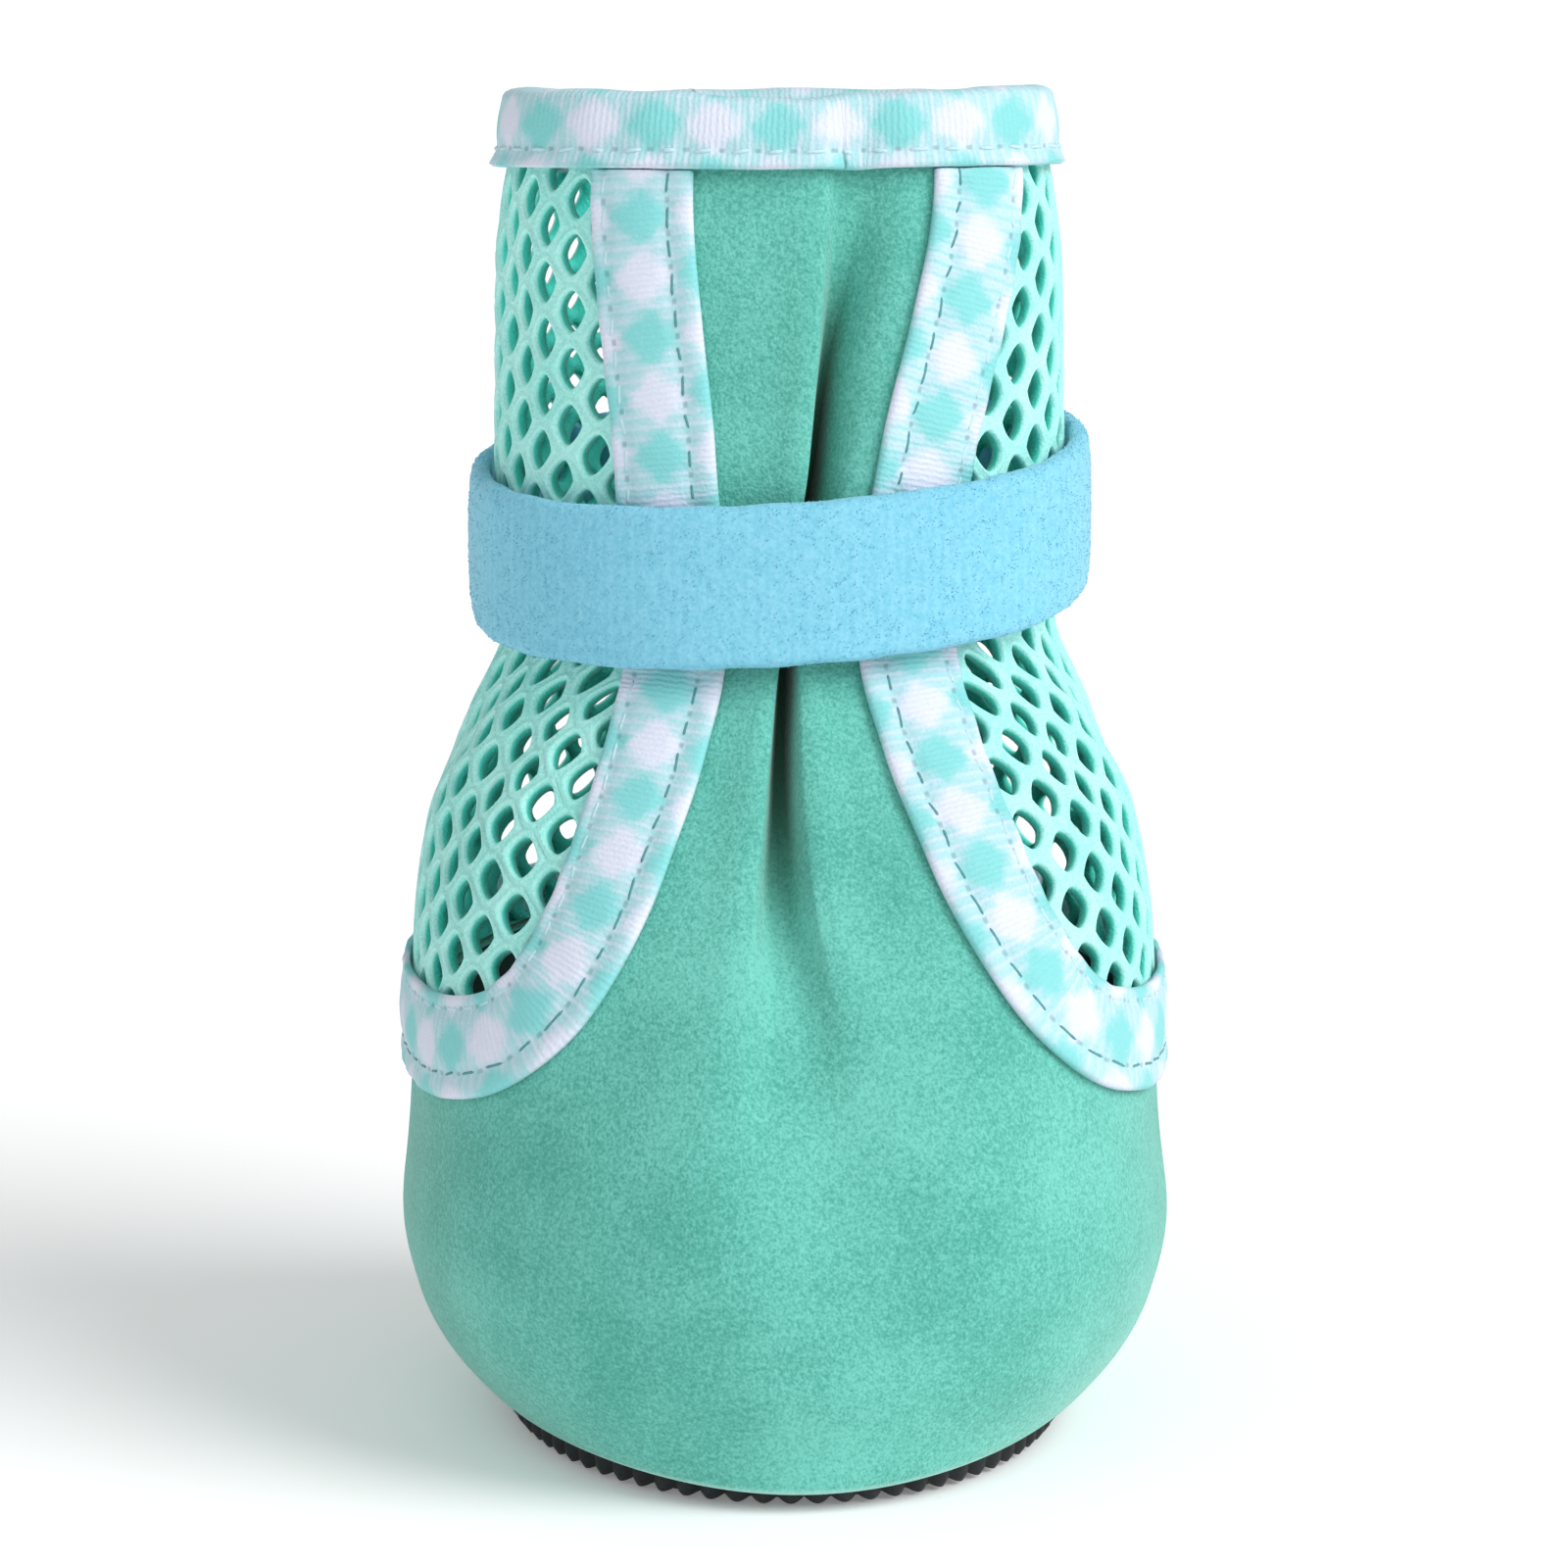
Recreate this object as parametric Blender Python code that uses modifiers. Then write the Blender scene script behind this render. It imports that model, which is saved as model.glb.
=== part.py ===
# Soft dog boot: cloth foot and front panel, open-hole mesh sides and back, gingham tapes,
# an ankle strap and a thin rubber sole. Metres, +Z up, toe towards -Y, ground at Z = 0.
# The origin is on the ground, under the middle of the sole.

import math
from collections import namedtuple

import bmesh
import bpy
import numpy as np

# Heights above the ground
BOOT_HEIGHT = 0.1044
NECK_HEIGHT = 0.0670

# Foot: widths across, reaches from the origin to the toe and to the heel
BALL_WIDTH = 0.0602
TOE_REACH = 0.0366
HEEL_REACH = 0.0302
SOLE_WIDTH = 0.0440
SOLE_TOE = 0.0312
SOLE_HEEL = 0.0256

# Neck, where the strap pulls the shaft in, and collar
NECK_WIDTH = 0.0425
NECK_FRONT = 0.0128
NECK_BACK = 0.0205
COLLAR_WIDTH = 0.0402
COLLAR_FRONT = 0.0072
COLLAR_BACK = 0.0206
COLLAR_DROP = 0.0030
COLLAR_DIP = 0.0010
COLLAR_DIP_WIDTH = 0.0110
SHAFT_TWIST = math.radians(6.5)

# Cloth, tape and rubber thicknesses
UPPER_WALL = 0.0016
MESH_WALL = 0.0013
TAPE_THICKNESS = 0.0008
STRAP_THICKNESS = 0.0017
SOLE_SHEET = 0.0014
LUG_HEIGHT = 0.0010
INSOLE_THICKNESS = 0.0015
CLEARANCE = 0.0003
SEAM_GAP = 0.0006

# Tape, binding and strap widths
TAPE_WIDTH = 0.0078
BINDING_HEIGHT = 0.0064
STRAP_WIDTH = 0.0120
STRAP_HEIGHT = 0.0678
STRAP_TILT = math.radians(4.5)
STRAP_ROLL = math.radians(3.5)
STRAP_OVERLAP = 0.0220

# Front pleat
PLEAT_DEPTH = 0.0052
PLEAT_HALF_WIDTH = 0.0022
PLEAT_LIP = 0.0005

# Tread
LUG_PITCH = 0.0056
LUG_RADIUS = 0.0021
LUG_TAPER = 0.0003
LUG_SIDES = 6
INSOLE_INSET = 0.0012

SOLE_HEIGHT = LUG_HEIGHT + SOLE_SHEET
UPPER_FOOT = SOLE_HEIGHT + CLEARANCE
WALL_TOP = BOOT_HEIGHT - TAPE_THICKNESS - CLEARANCE
SHAFT_HEIGHT = BOOT_HEIGHT - NECK_HEIGHT
FOOT_HEIGHT = NECK_HEIGHT - UPPER_FOOT

# One row for each level of the last, sole to collar. front and back are distances from the
# origin, widest is how far behind it the level is widest, and boxy squares its outline.
Section = namedtuple("Section", "height half_width front back widest boxy")


def foot_level(share, width, toe, heel, widest, boxy):
    """A level of the foot, as shares of the foot's height and of the ball's three reaches."""
    return Section(UPPER_FOOT + share * FOOT_HEIGHT, width * BALL_WIDTH / 2, toe * TOE_REACH,
                   heel * HEEL_REACH, widest * HEEL_REACH, boxy)


def shaft_level(share, width, front, back, widest, boxy):
    """A level of the shaft, as shares of the shaft's height, blended from neck to collar."""
    return Section(NECK_HEIGHT + share * SHAFT_HEIGHT,
                   width * (NECK_WIDTH + share * (COLLAR_WIDTH - NECK_WIDTH)) / 2,
                   front * (NECK_FRONT + share * (COLLAR_FRONT - NECK_FRONT)),
                   back * (NECK_BACK + share * (COLLAR_BACK - NECK_BACK)),
                   widest * NECK_BACK, boxy)


LAST = [
    Section(UPPER_FOOT, 0.84 * SOLE_WIDTH / 2, 0.85 * SOLE_TOE, 0.85 * SOLE_HEEL, 0.0, 0.005),
    Section(UPPER_FOOT, 1.01 * SOLE_WIDTH / 2, 1.01 * SOLE_TOE, 1.01 * SOLE_HEEL, 0.0, 0.005),
    foot_level(0.045, 0.866, 0.905, 0.925, -0.02, 0.010),
    foot_level(0.125, 0.960, 0.975, 0.980, -0.05, 0.015),
    foot_level(0.230, 1.000, 1.000, 1.000, -0.06, 0.020),
    foot_level(0.390, 0.968, 0.930, 0.992, -0.05, 0.025),
    foot_level(0.550, 0.960, 0.800, 0.955, -0.02, 0.025),
    foot_level(0.690, 0.918, 0.640, 0.885, 0.04, 0.025),
    foot_level(0.810, 0.816, 0.492, 0.795, 0.10, 0.022),
    foot_level(0.915, 0.718, 0.392, 0.710, 0.16, 0.020),
    shaft_level(0.00, 1.000, 1.000, 1.000, 0.24, 0.020),
    shaft_level(0.22, 1.062, 1.040, 1.010, 0.26, 0.020),
    shaft_level(0.60, 1.075, 1.080, 1.015, 0.30, 0.025),
    shaft_level(1.00, 1.000, 1.000, 1.000, 0.32, 0.030),
]
LAST_ROW = len(LAST) - 1
FOLD_ROW = 1

# The pleat down the front: how deep it is at each height, as a share of PLEAT_DEPTH, and
# how far its bottom wanders from the middle, as a share of its half width.
Pleat = namedtuple("Pleat", "height depth wander")
PLEAT = [
    Pleat(UPPER_FOOT + 0.46 * FOOT_HEIGHT, 0.00, -0.70),
    Pleat(UPPER_FOOT + 0.60 * FOOT_HEIGHT, 0.14, -0.70),
    Pleat(UPPER_FOOT + 0.74 * FOOT_HEIGHT, 0.52, -0.62),
    Pleat(UPPER_FOOT + 0.87 * FOOT_HEIGHT, 0.88, -0.46),
    Pleat(NECK_HEIGHT, 1.00, 0.10),
    Pleat(NECK_HEIGHT + 0.22 * SHAFT_HEIGHT, 0.96, 0.72),
    Pleat(NECK_HEIGHT + 0.45 * SHAFT_HEIGHT, 0.74, 0.66),
    Pleat(NECK_HEIGHT + 0.64 * SHAFT_HEIGHT, 0.38, 0.60),
    Pleat(NECK_HEIGHT + 0.80 * SHAFT_HEIGHT, 0.00, 0.60),
    Pleat(BOOT_HEIGHT, 0.00, 0.60),
]

# The seam between cloth and mesh, under the middle of the side tape: from the collar down
# beside the front panel, then round the foot to the back. Angles are from the toe.
Seam = namedtuple("Seam", "angle height")
SEAM = [
    Seam(35.5, BOOT_HEIGHT),
    Seam(34.0, NECK_HEIGHT + 0.80 * SHAFT_HEIGHT),
    Seam(29.0, NECK_HEIGHT + 0.51 * SHAFT_HEIGHT),
    Seam(24.6, NECK_HEIGHT + 0.27 * SHAFT_HEIGHT),
    Seam(22.7, NECK_HEIGHT + 0.08 * SHAFT_HEIGHT),
    Seam(22.3, UPPER_FOOT + 0.925 * FOOT_HEIGHT),
    Seam(23.4, UPPER_FOOT + 0.815 * FOOT_HEIGHT),
    Seam(26.6, UPPER_FOOT + 0.700 * FOOT_HEIGHT),
    Seam(32.4, UPPER_FOOT + 0.602 * FOOT_HEIGHT),
    Seam(40.5, UPPER_FOOT + 0.528 * FOOT_HEIGHT),
    Seam(52.5, UPPER_FOOT + 0.478 * FOOT_HEIGHT),
    Seam(70.0, UPPER_FOOT + 0.458 * FOOT_HEIGHT),
    Seam(92.0, UPPER_FOOT + 0.456 * FOOT_HEIGHT),
    Seam(120.0, UPPER_FOOT + 0.466 * FOOT_HEIGHT),
    Seam(150.0, UPPER_FOOT + 0.490 * FOOT_HEIGHT),
    Seam(180.0, UPPER_FOOT + 0.500 * FOOT_HEIGHT),
]
SEAM_NECK_ROW = 5
SEAM_SAMPLES = 40


def smooth(values, at):
    """A monotone cubic through values, one for each whole number of at: it never overshoots."""
    values = np.asarray(values, float)
    steps = np.diff(values)
    before, after = steps[:-1], steps[1:]
    turning = before * after <= 0
    total = np.where(turning, 1.0, before + after)
    inner = np.where(turning, 0.0, 2 * before * after / total)
    slopes = np.concatenate([steps[:1], inner, steps[-1:]])
    at = np.clip(np.asarray(at, float), 0, len(values) - 1)
    row = np.minimum(at.astype(int), len(values) - 2)
    t = at - row
    return ((1 + 2 * t) * (1 - t) ** 2 * values[row] + t * (1 - t) ** 2 * slopes[row]
            + t * t * (3 - 2 * t) * values[row + 1] + t * t * (t - 1) * slopes[row + 1])


def column(rows, name):
    return [getattr(row, name) for row in rows]


LEVEL_ROWS = np.linspace(FOLD_ROW, LAST_ROW, 600)
LEVEL_HEIGHTS = smooth(column(LAST, "height"), LEVEL_ROWS)


def row_at(height):
    """The last's fractional row at a height, above the fold of the margin."""
    return np.interp(height, LEVEL_HEIGHTS, LEVEL_ROWS)


def by_height(rows, name, height):
    """A column of a table that has a height column, smoothed, at any height."""
    at = np.linspace(0, len(rows) - 1, 400)
    return np.interp(height, smooth(column(rows, "height"), at), smooth(column(rows, name), at))


def shaft_share(height):
    """0 below the neck, rising to 1 at the collar."""
    t = np.clip((height - NECK_HEIGHT) / SHAFT_HEIGHT, 0, 1)
    return t * t * (3 - 2 * t)


def outline(angle, half_width, front, back, widest, boxy):
    """A closed outline, wide at widest, that reaches front and back of the origin."""
    x = half_width * (np.sin(angle) + boxy * np.sin(3 * angle)) / (1 - boxy)
    along = (np.cos(angle) - boxy * np.cos(3 * angle)) / (1 - boxy)
    reach = np.where(np.cos(angle) > 0, front + widest, back - widest)
    return x, widest - reach * along


def last_points(angle, row, pleated=True):
    """Points on the last's outer surface, with its twisted shaft, shaped collar and pleat."""
    angle, row = np.broadcast_arrays(np.asarray(angle, float), np.asarray(row, float))
    height = smooth(column(LAST, "height"), row)
    sizes = [smooth(column(LAST, name), row) for name in Section._fields[1:]]
    share = shaft_share(height)
    x, y = outline(angle + SHAFT_TWIST * share, *sizes)
    if pleated:
        straight_x = outline(angle, *sizes)[0]
        wander = by_height(PLEAT, "wander", height) * PLEAT_HALF_WIDTH
        depth = by_height(PLEAT, "depth", height)
        across = np.where(np.cos(angle) > 0, (straight_x - wander) / PLEAT_HALF_WIDTH, 9.0)
        trough = np.exp(-across ** 2) * PLEAT_DEPTH
        lips = np.exp(-((np.abs(across) - 1.7) / 0.7) ** 2) * PLEAT_LIP
        y = y + depth * (trough - lips)
    drop = COLLAR_DROP * share * (y + COLLAR_FRONT) / (COLLAR_FRONT + COLLAR_BACK)
    front = np.where(np.cos(angle) > 0, np.exp(-(x / COLLAR_DIP_WIDTH) ** 2), 0.0)
    drop += COLLAR_DIP * np.clip((height - NECK_HEIGHT) / SHAFT_HEIGHT, 0, 1) ** 8 * front
    return np.stack([x, y, height - drop], -1)


def slopes_at(angle, row, pleated=True):
    """The two directions of the surface at a point: for a radian round it, and a row up it."""
    step = 1e-3
    low, high = np.maximum(row - step, 0), np.minimum(row + step, LAST_ROW)
    around = (last_points(angle + step, row, pleated) - last_points(angle - step, row, pleated))
    up = (last_points(angle, high, pleated) - last_points(angle, low, pleated))
    return around / (2 * step), up / (high - low)[..., None]


def unit(vectors):
    return vectors / np.linalg.norm(vectors, axis=-1, keepdims=True)


def surface(angle, row, offset=0.0, pleated=True):
    """Points at a distance outside the last's outer surface, along its normal."""
    angle, row = np.broadcast_arrays(np.asarray(angle, float), np.asarray(row, float))
    around, up = slopes_at(angle, row, pleated)
    normal = unit(np.cross(around, up))
    return last_points(angle, row, pleated) + normal * np.asarray(offset)[..., None]


def seam_curve():
    """The seam's angles and heights from the collar to the back, closely sampled."""
    at = np.linspace(0, len(SEAM) - 1, (len(SEAM) - 1) * SEAM_SAMPLES + 1)
    return np.radians(smooth(column(SEAM, "angle"), at)), smooth(column(SEAM, "height"), at)


SEAM_ANGLES, SEAM_HEIGHTS = seam_curve()
SEAM_TURN = SEAM_NECK_ROW * SEAM_SAMPLES
NECK_ANGLE = SEAM_ANGLES[SEAM_TURN]
NECK_SEAM_ROW = row_at(SEAM_HEIGHTS[SEAM_TURN])


def crease_angle(row):
    """The angle of the pleat's bottom, at a row."""
    height = smooth(column(LAST, "height"), row)
    half_width, boxy = (smooth(column(LAST, name), row) for name in ("half_width", "boxy"))
    across = half_width * (1 + 3 * boxy) / (1 - boxy)
    return by_height(PLEAT, "wander", height) * PLEAT_HALF_WIDTH / across


def panel_angle(row):
    """The seam's angle beside the front panel, at a row above the neck."""
    rows = row_at(SEAM_HEIGHTS[:SEAM_TURN + 1])[::-1]
    return np.interp(row, rows, SEAM_ANGLES[:SEAM_TURN + 1][::-1])


def seam_row(angle):
    """The seam's row round the foot, at an angle from the toe."""
    return np.interp(angle, SEAM_ANGLES[SEAM_TURN:], row_at(SEAM_HEIGHTS[SEAM_TURN:]))


def add_material(name, colour, roughness):
    material = bpy.data.materials.new(name)
    material.use_nodes = True
    shader = material.node_tree.nodes["Principled BSDF"]
    shader.inputs["Base Color"].default_value = (*colour, 1.0)
    shader.inputs["Roughness"].default_value = roughness
    shader.inputs["Metallic"].default_value = 0.0
    return material


def add_object(name, data, material, collection):
    data.materials.append(material)
    made = bpy.data.objects.new(name, data)
    collection.objects.link(made)
    return made


def grid_mesh(name, grids):
    """One open surface from grids of points, welded where they meet."""
    shape = bmesh.new()
    for grid in grids:
        rows = [[shape.verts.new(point) for point in line] for line in grid]
        for low, high in zip(rows, rows[1:]):
            for i in range(len(low) - 1):
                shape.faces.new((low[i], low[i + 1], high[i + 1], high[i]))
    bmesh.ops.remove_doubles(shape, verts=shape.verts, dist=2e-6)
    mesh = bpy.data.meshes.new(name)
    shape.to_mesh(mesh)
    shape.free()
    mesh.shade_smooth()
    return mesh


def thicken(made, thickness, outwards):
    """Gives an open surface its real thickness, out from it or in from it."""
    shell = made.modifiers.new("wall", "SOLIDIFY")
    shell.thickness = thickness
    shell.offset = 1.0 if outwards else -1.0
    shell.use_even_offset = True
    shell.use_quality_normals = True


# The share of the half panel at each column of the front, close together by the pleat
PANEL_SHARES = np.array([0.0, 0.08, 0.17, 0.27, 0.38, 0.50, 0.64, 0.80, 1.0])
SIDE_OF_PLEAT = np.concatenate([-PANEL_SHARES[:0:-1], PANEL_SHARES])
SIDE_COLUMNS = 19
SIDE_CROWDING = 1.5
FOOT_ROWS = 15
COLLAR_ROWS = 9


def front_columns(row, edge):
    """Angles across the front panel, from edge to edge, crowded towards the pleat's bottom."""
    crease = crease_angle(row)
    return crease + np.abs(SIDE_OF_PLEAT) * (np.sign(SIDE_OF_PLEAT) * edge - crease)


def side_stations():
    """Angles and heights along the seam from the neck to the back, crowded towards the neck."""
    angles, heights = SEAM_ANGLES[SEAM_TURN:], SEAM_HEIGHTS[SEAM_TURN:]
    points = last_points(angles, row_at(heights))
    along = np.concatenate([[0], np.cumsum(np.linalg.norm(np.diff(points, axis=0), axis=1))])
    stops = along[-1] * np.linspace(0, 1, SIDE_COLUMNS) ** SIDE_CROWDING
    return np.interp(stops, along, angles), np.interp(stops, along, heights)


def upper_grids():
    """The cloth: all round the foot up to the seam, and up the front panel to the collar."""
    gap = SEAM_GAP / NECK_WIDTH
    first = NECK_ANGLE - gap
    side, seam = side_stations()
    side = np.concatenate([side[1:-1] - gap, [math.pi]])
    seam = row_at(seam[1:] - SEAM_GAP / 2)
    climb = np.linspace(0, 1, FOOT_ROWS)[:, None]
    neck = climb * NECK_SEAM_ROW
    front = front_columns(neck, first)
    angles = np.hstack([np.tile(-side[::-1], (FOOT_ROWS, 1)), front, np.tile(side, (FOOT_ROWS, 1))])
    rows = np.hstack([climb * seam[::-1], np.tile(neck, len(SIDE_OF_PLEAT)), climb * seam])
    foot = surface(angles, rows)
    rows = np.linspace(NECK_SEAM_ROW, row_at(WALL_TOP), COLLAR_ROWS)[:, None]
    panel = surface(front_columns(rows, panel_angle(rows) - gap), rows)
    return [foot, panel]


MESH_FOOT_ROWS = 10


def mesh_grids():
    """The mesh: sides and back, from the seam up to the collar."""
    gap = SEAM_GAP / NECK_WIDTH
    first = NECK_ANGLE + gap
    side, seam = side_stations()
    side = np.concatenate([side[:-1] + gap, [math.pi]])
    seam = row_at(np.minimum(seam + SEAM_GAP / 2, seam[0]))
    around = np.concatenate([side, 2 * math.pi - side[-2::-1]])
    bottoms = np.concatenate([seam, seam[-2::-1]])
    shares = (around - first) / (2 * (math.pi - first))
    climb = np.linspace(0, 1, MESH_FOOT_ROWS)[:, None]
    foot = surface(around[None, :], bottoms[None, :] + climb * (NECK_SEAM_ROW - bottoms)[None, :])
    rows = np.linspace(NECK_SEAM_ROW, row_at(WALL_TOP), COLLAR_ROWS)[:, None]
    edge = panel_angle(rows) + gap
    shaft = surface(edge + 2 * (math.pi - edge) * shares[None, :], rows)
    return [foot, shaft]


TAPE_STEPS = 64
TAPE_ACROSS = 2


def march(angle, row, direction, distance, steps):
    """Walks over the surface from a point, straight on in a direction, and lists each stop."""
    stops = [(angle, row)]
    for _ in range(steps):
        around, up = slopes_at(angle, row)
        normal = unit(np.cross(around, up))
        direction = unit(direction - normal * (direction * normal).sum(-1, keepdims=True))
        move = direction * distance / steps
        aa, uu, au = (around * around).sum(-1), (up * up).sum(-1), (around * up).sum(-1)
        ma, mu = (move * around).sum(-1), (move * up).sum(-1)
        angle = angle + (ma * uu - mu * au) / (aa * uu - au * au)
        row = np.minimum(row + (mu * aa - ma * au) / (aa * uu - au * au), LAST_ROW)
        stops.append((angle, row))
    return stops


def tape_centre():
    """The whole seam as angles and rows, from one end under the binding to the other."""
    below = SEAM_HEIGHTS < BOOT_HEIGHT - BINDING_HEIGHT + 3 * CLEARANCE
    angles, rows = SEAM_ANGLES[below], row_at(SEAM_HEIGHTS[below])
    angles = np.concatenate([angles, 2 * math.pi - angles[-2::-1]])
    rows = np.concatenate([rows, rows[-2::-1]])
    points = last_points(angles, rows)
    along = np.concatenate([[0], np.cumsum(np.linalg.norm(np.diff(points, axis=0), axis=1))])
    even = np.linspace(0, along[-1], TAPE_STEPS + 1)
    return np.interp(even, along, angles), np.interp(even, along, rows)


def tape_grid():
    """The tape's inner face, a clearance outside the cloth, centred on the seam."""
    angles, rows = tape_centre()
    points = last_points(angles, rows)
    forward = unit(np.gradient(points, axis=0))
    around, up = slopes_at(angles, rows)
    across = unit(np.cross(unit(np.cross(around, up)), forward))
    right = march(angles, rows, -across, TAPE_WIDTH / 2, TAPE_ACROSS)
    left = march(angles, rows, across, TAPE_WIDTH / 2, TAPE_ACROSS)
    lines = right[:0:-1] + left
    top = row_at(BOOT_HEIGHT - BINDING_HEIGHT - CLEARANCE)
    return [surface(a, np.minimum(r, top), CLEARANCE) for a, r in lines]


BINDING_COLUMNS = 52


def binding_rings():
    """The binding's folded section, carried round the collar."""
    outer = CLEARANCE
    inner = -(max(UPPER_WALL, MESH_WALL) + CLEARANCE)
    low, fold = BOOT_HEIGHT - BINDING_HEIGHT, BOOT_HEIGHT - TAPE_THICKNESS
    round_over = BOOT_HEIGHT - 0.4 * TAPE_THICKNESS
    section = [
        (outer, low), (outer + TAPE_THICKNESS, low), (outer + TAPE_THICKNESS, round_over),
        (outer + 0.3 * TAPE_THICKNESS, BOOT_HEIGHT), (inner - 0.3 * TAPE_THICKNESS, BOOT_HEIGHT),
        (inner - TAPE_THICKNESS, round_over), (inner - TAPE_THICKNESS, low), (inner, low),
        (inner, fold), (outer, fold),
    ]
    angles = np.linspace(0, 2 * math.pi, BINDING_COLUMNS + 1)
    return [surface(angles, np.full_like(angles, row_at(height)), offset)
            for offset, height in section + section[:1]]


STRAP_COLUMNS = 80


def strap_loop():
    """The loop that clears the neck and tape over the strap's whole height, as outline sizes."""
    rise, roll = math.tan(STRAP_TILT), math.tan(STRAP_ROLL) * NECK_WIDTH / 2
    levels = {"front": -roll / 2, "half_width": rise * NECK_FRONT - roll, "back": rise * NECK_BACK}
    sizes = {}
    for name, lift in levels.items():
        span = STRAP_HEIGHT + lift + np.linspace(-0.65, 0.65, 27) * STRAP_WIDTH
        sizes[name] = smooth(column(LAST, name), row_at(span)).max()
    return sizes


def strap_grid():
    """The strap's inner face: once round the neck, then on over its own end at the back."""
    sizes = strap_loop()
    widest, boxy = 0.24 * NECK_BACK, 0.020
    stack = 2 * CLEARANCE + TAPE_THICKNESS
    reach = (sizes["half_width"] + CLEARANCE, sizes["front"] + stack, sizes["back"] + CLEARANCE)
    turn = STRAP_OVERLAP / (sizes["back"] + STRAP_THICKNESS)
    angle = np.linspace(math.pi - turn / 2, 3 * math.pi + turn / 2, STRAP_COLUMNS + 1)
    climb = np.clip((angle - 3 * math.pi + turn) / (turn / 2), 0, 1)
    lift = (STRAP_THICKNESS + CLEARANCE) * climb * climb * (3 - 2 * climb)
    x, y = outline(angle, *reach, widest, boxy)
    normal = unit(np.stack([x / reach[0], (y - widest) / reach[1], 0 * x], -1))
    line = np.stack([x, y, 0 * x], -1) + normal * lift[:, None]
    line[:, 2] = (STRAP_HEIGHT + math.tan(STRAP_TILT) * (line[:, 1] + NECK_FRONT)
                  + math.tan(STRAP_ROLL) * line[:, 0])
    return [line + np.array([0, 0, half * STRAP_WIDTH / 2]) for half in (-1, 0, 1)]


def sole_outline(inset, count):
    """The sole's outline, moved in by inset, as points round it."""
    angle = np.linspace(0, 2 * math.pi, count, endpoint=False)
    x, y = outline(angle, SOLE_WIDTH / 2 - inset, SOLE_TOE - inset, SOLE_HEEL - inset, 0.0, 0.005)
    return np.stack([x, y], -1)


SOLE_SIDES = 56


def sheet(name, inset, low, thickness, material, collection):
    """A flat sheet of the sole's outline, standing on height low."""
    shape = bmesh.new()
    shape.faces.new([shape.verts.new((x, y, low)) for x, y in sole_outline(inset, SOLE_SIDES)])
    mesh = bpy.data.meshes.new(name)
    shape.to_mesh(mesh)
    shape.free()
    made = add_object(name, mesh, material, collection)
    thicken(made, thickness, outwards=True)
    return made


def lug_places():
    """Nubs in staggered rows under the sole, wherever a whole nub fits."""
    half_width = SOLE_WIDTH / 2 - LUG_RADIUS - LUG_TAPER
    row_step = LUG_PITCH * math.sqrt(3) / 2
    rows = int(max(SOLE_TOE, SOLE_HEEL) / row_step)
    places = []
    for row in range(-rows, rows + 1):
        y = row * row_step
        reach = (SOLE_HEEL if y > 0 else SOLE_TOE) - LUG_RADIUS - LUG_TAPER
        if abs(y) >= reach:
            continue
        limit = half_width * math.sqrt(1 - (y / reach) ** 2)
        shift = 0.5 * (row % 2)
        count = int(limit / LUG_PITCH) + 1
        for i in range(-count, count + 1):
            x = (i + shift) * LUG_PITCH
            if abs(x) <= limit:
                places.append((x, y))
    return places


def build_outsole(collection, cutters, material):
    """A thin rubber sheet with its nubs joined on underneath."""
    outsole = sheet("outsole", 0.0, LUG_HEIGHT, SOLE_SHEET, material, collection)
    root = SOLE_SHEET / 2
    shape = bmesh.new()
    for x, y in lug_places():
        lug = bmesh.ops.create_cone(shape, cap_ends=True, segments=LUG_SIDES, radius1=LUG_RADIUS,
                                    radius2=LUG_RADIUS + LUG_TAPER, depth=LUG_HEIGHT + root)
        bmesh.ops.translate(shape, verts=lug["verts"], vec=(x, y, (LUG_HEIGHT + root) / 2))
    lugs = bpy.data.meshes.new("lugs")
    shape.to_mesh(lugs)
    shape.free()
    guide = add_object("lugs", lugs, material, cutters)
    guide.hide_render = True
    guide.display_type = "WIRE"
    union = outsole.modifiers.new("lugs", "BOOLEAN")
    union.operation = "UNION"
    union.object = guide


def main():
    for old in list(bpy.data.objects):
        bpy.data.objects.remove(old)
    boot = bpy.data.collections.new("dog_boot")
    cutters = bpy.data.collections.new("cutters")
    for made in (boot, cutters):
        bpy.context.scene.collection.children.link(made)

    cloth = add_material("suede_cloth", (0.18, 0.60, 0.50), 0.9)
    mesh_knit = add_material("mesh_knit", (0.30, 0.74, 0.62), 0.7)
    gingham = add_material("gingham_tape", (0.55, 0.86, 0.86), 0.6)
    hook_and_loop = add_material("strap_band", (0.26, 0.68, 0.86), 0.85)
    rubber = add_material("sole_rubber", (0.02, 0.02, 0.022), 0.8)
    lining = add_material("insole_felt", (0.03, 0.035, 0.035), 0.95)

    upper = add_object("upper", grid_mesh("upper", upper_grids()), cloth, boot)
    thicken(upper, UPPER_WALL, outwards=False)
    mesh_panel = add_object("mesh_panel", grid_mesh("mesh_panel", mesh_grids()), mesh_knit, boot)
    thicken(mesh_panel, MESH_WALL, outwards=False)
    side_tape = add_object("side_tape", grid_mesh("side_tape", [tape_grid()]), gingham, boot)
    thicken(side_tape, TAPE_THICKNESS, outwards=True)
    add_object("collar_binding", grid_mesh("collar_binding", [binding_rings()]), gingham, boot)
    strap = add_object("strap", grid_mesh("strap", [strap_grid()]), hook_and_loop, boot)
    thicken(strap, STRAP_THICKNESS, outwards=True)
    build_outsole(boot, cutters, rubber)
    sheet("insole", INSOLE_INSET, UPPER_FOOT + UPPER_WALL + CLEARANCE, INSOLE_THICKNESS, lining, boot)


main()
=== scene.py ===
import math
from collections import namedtuple

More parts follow.
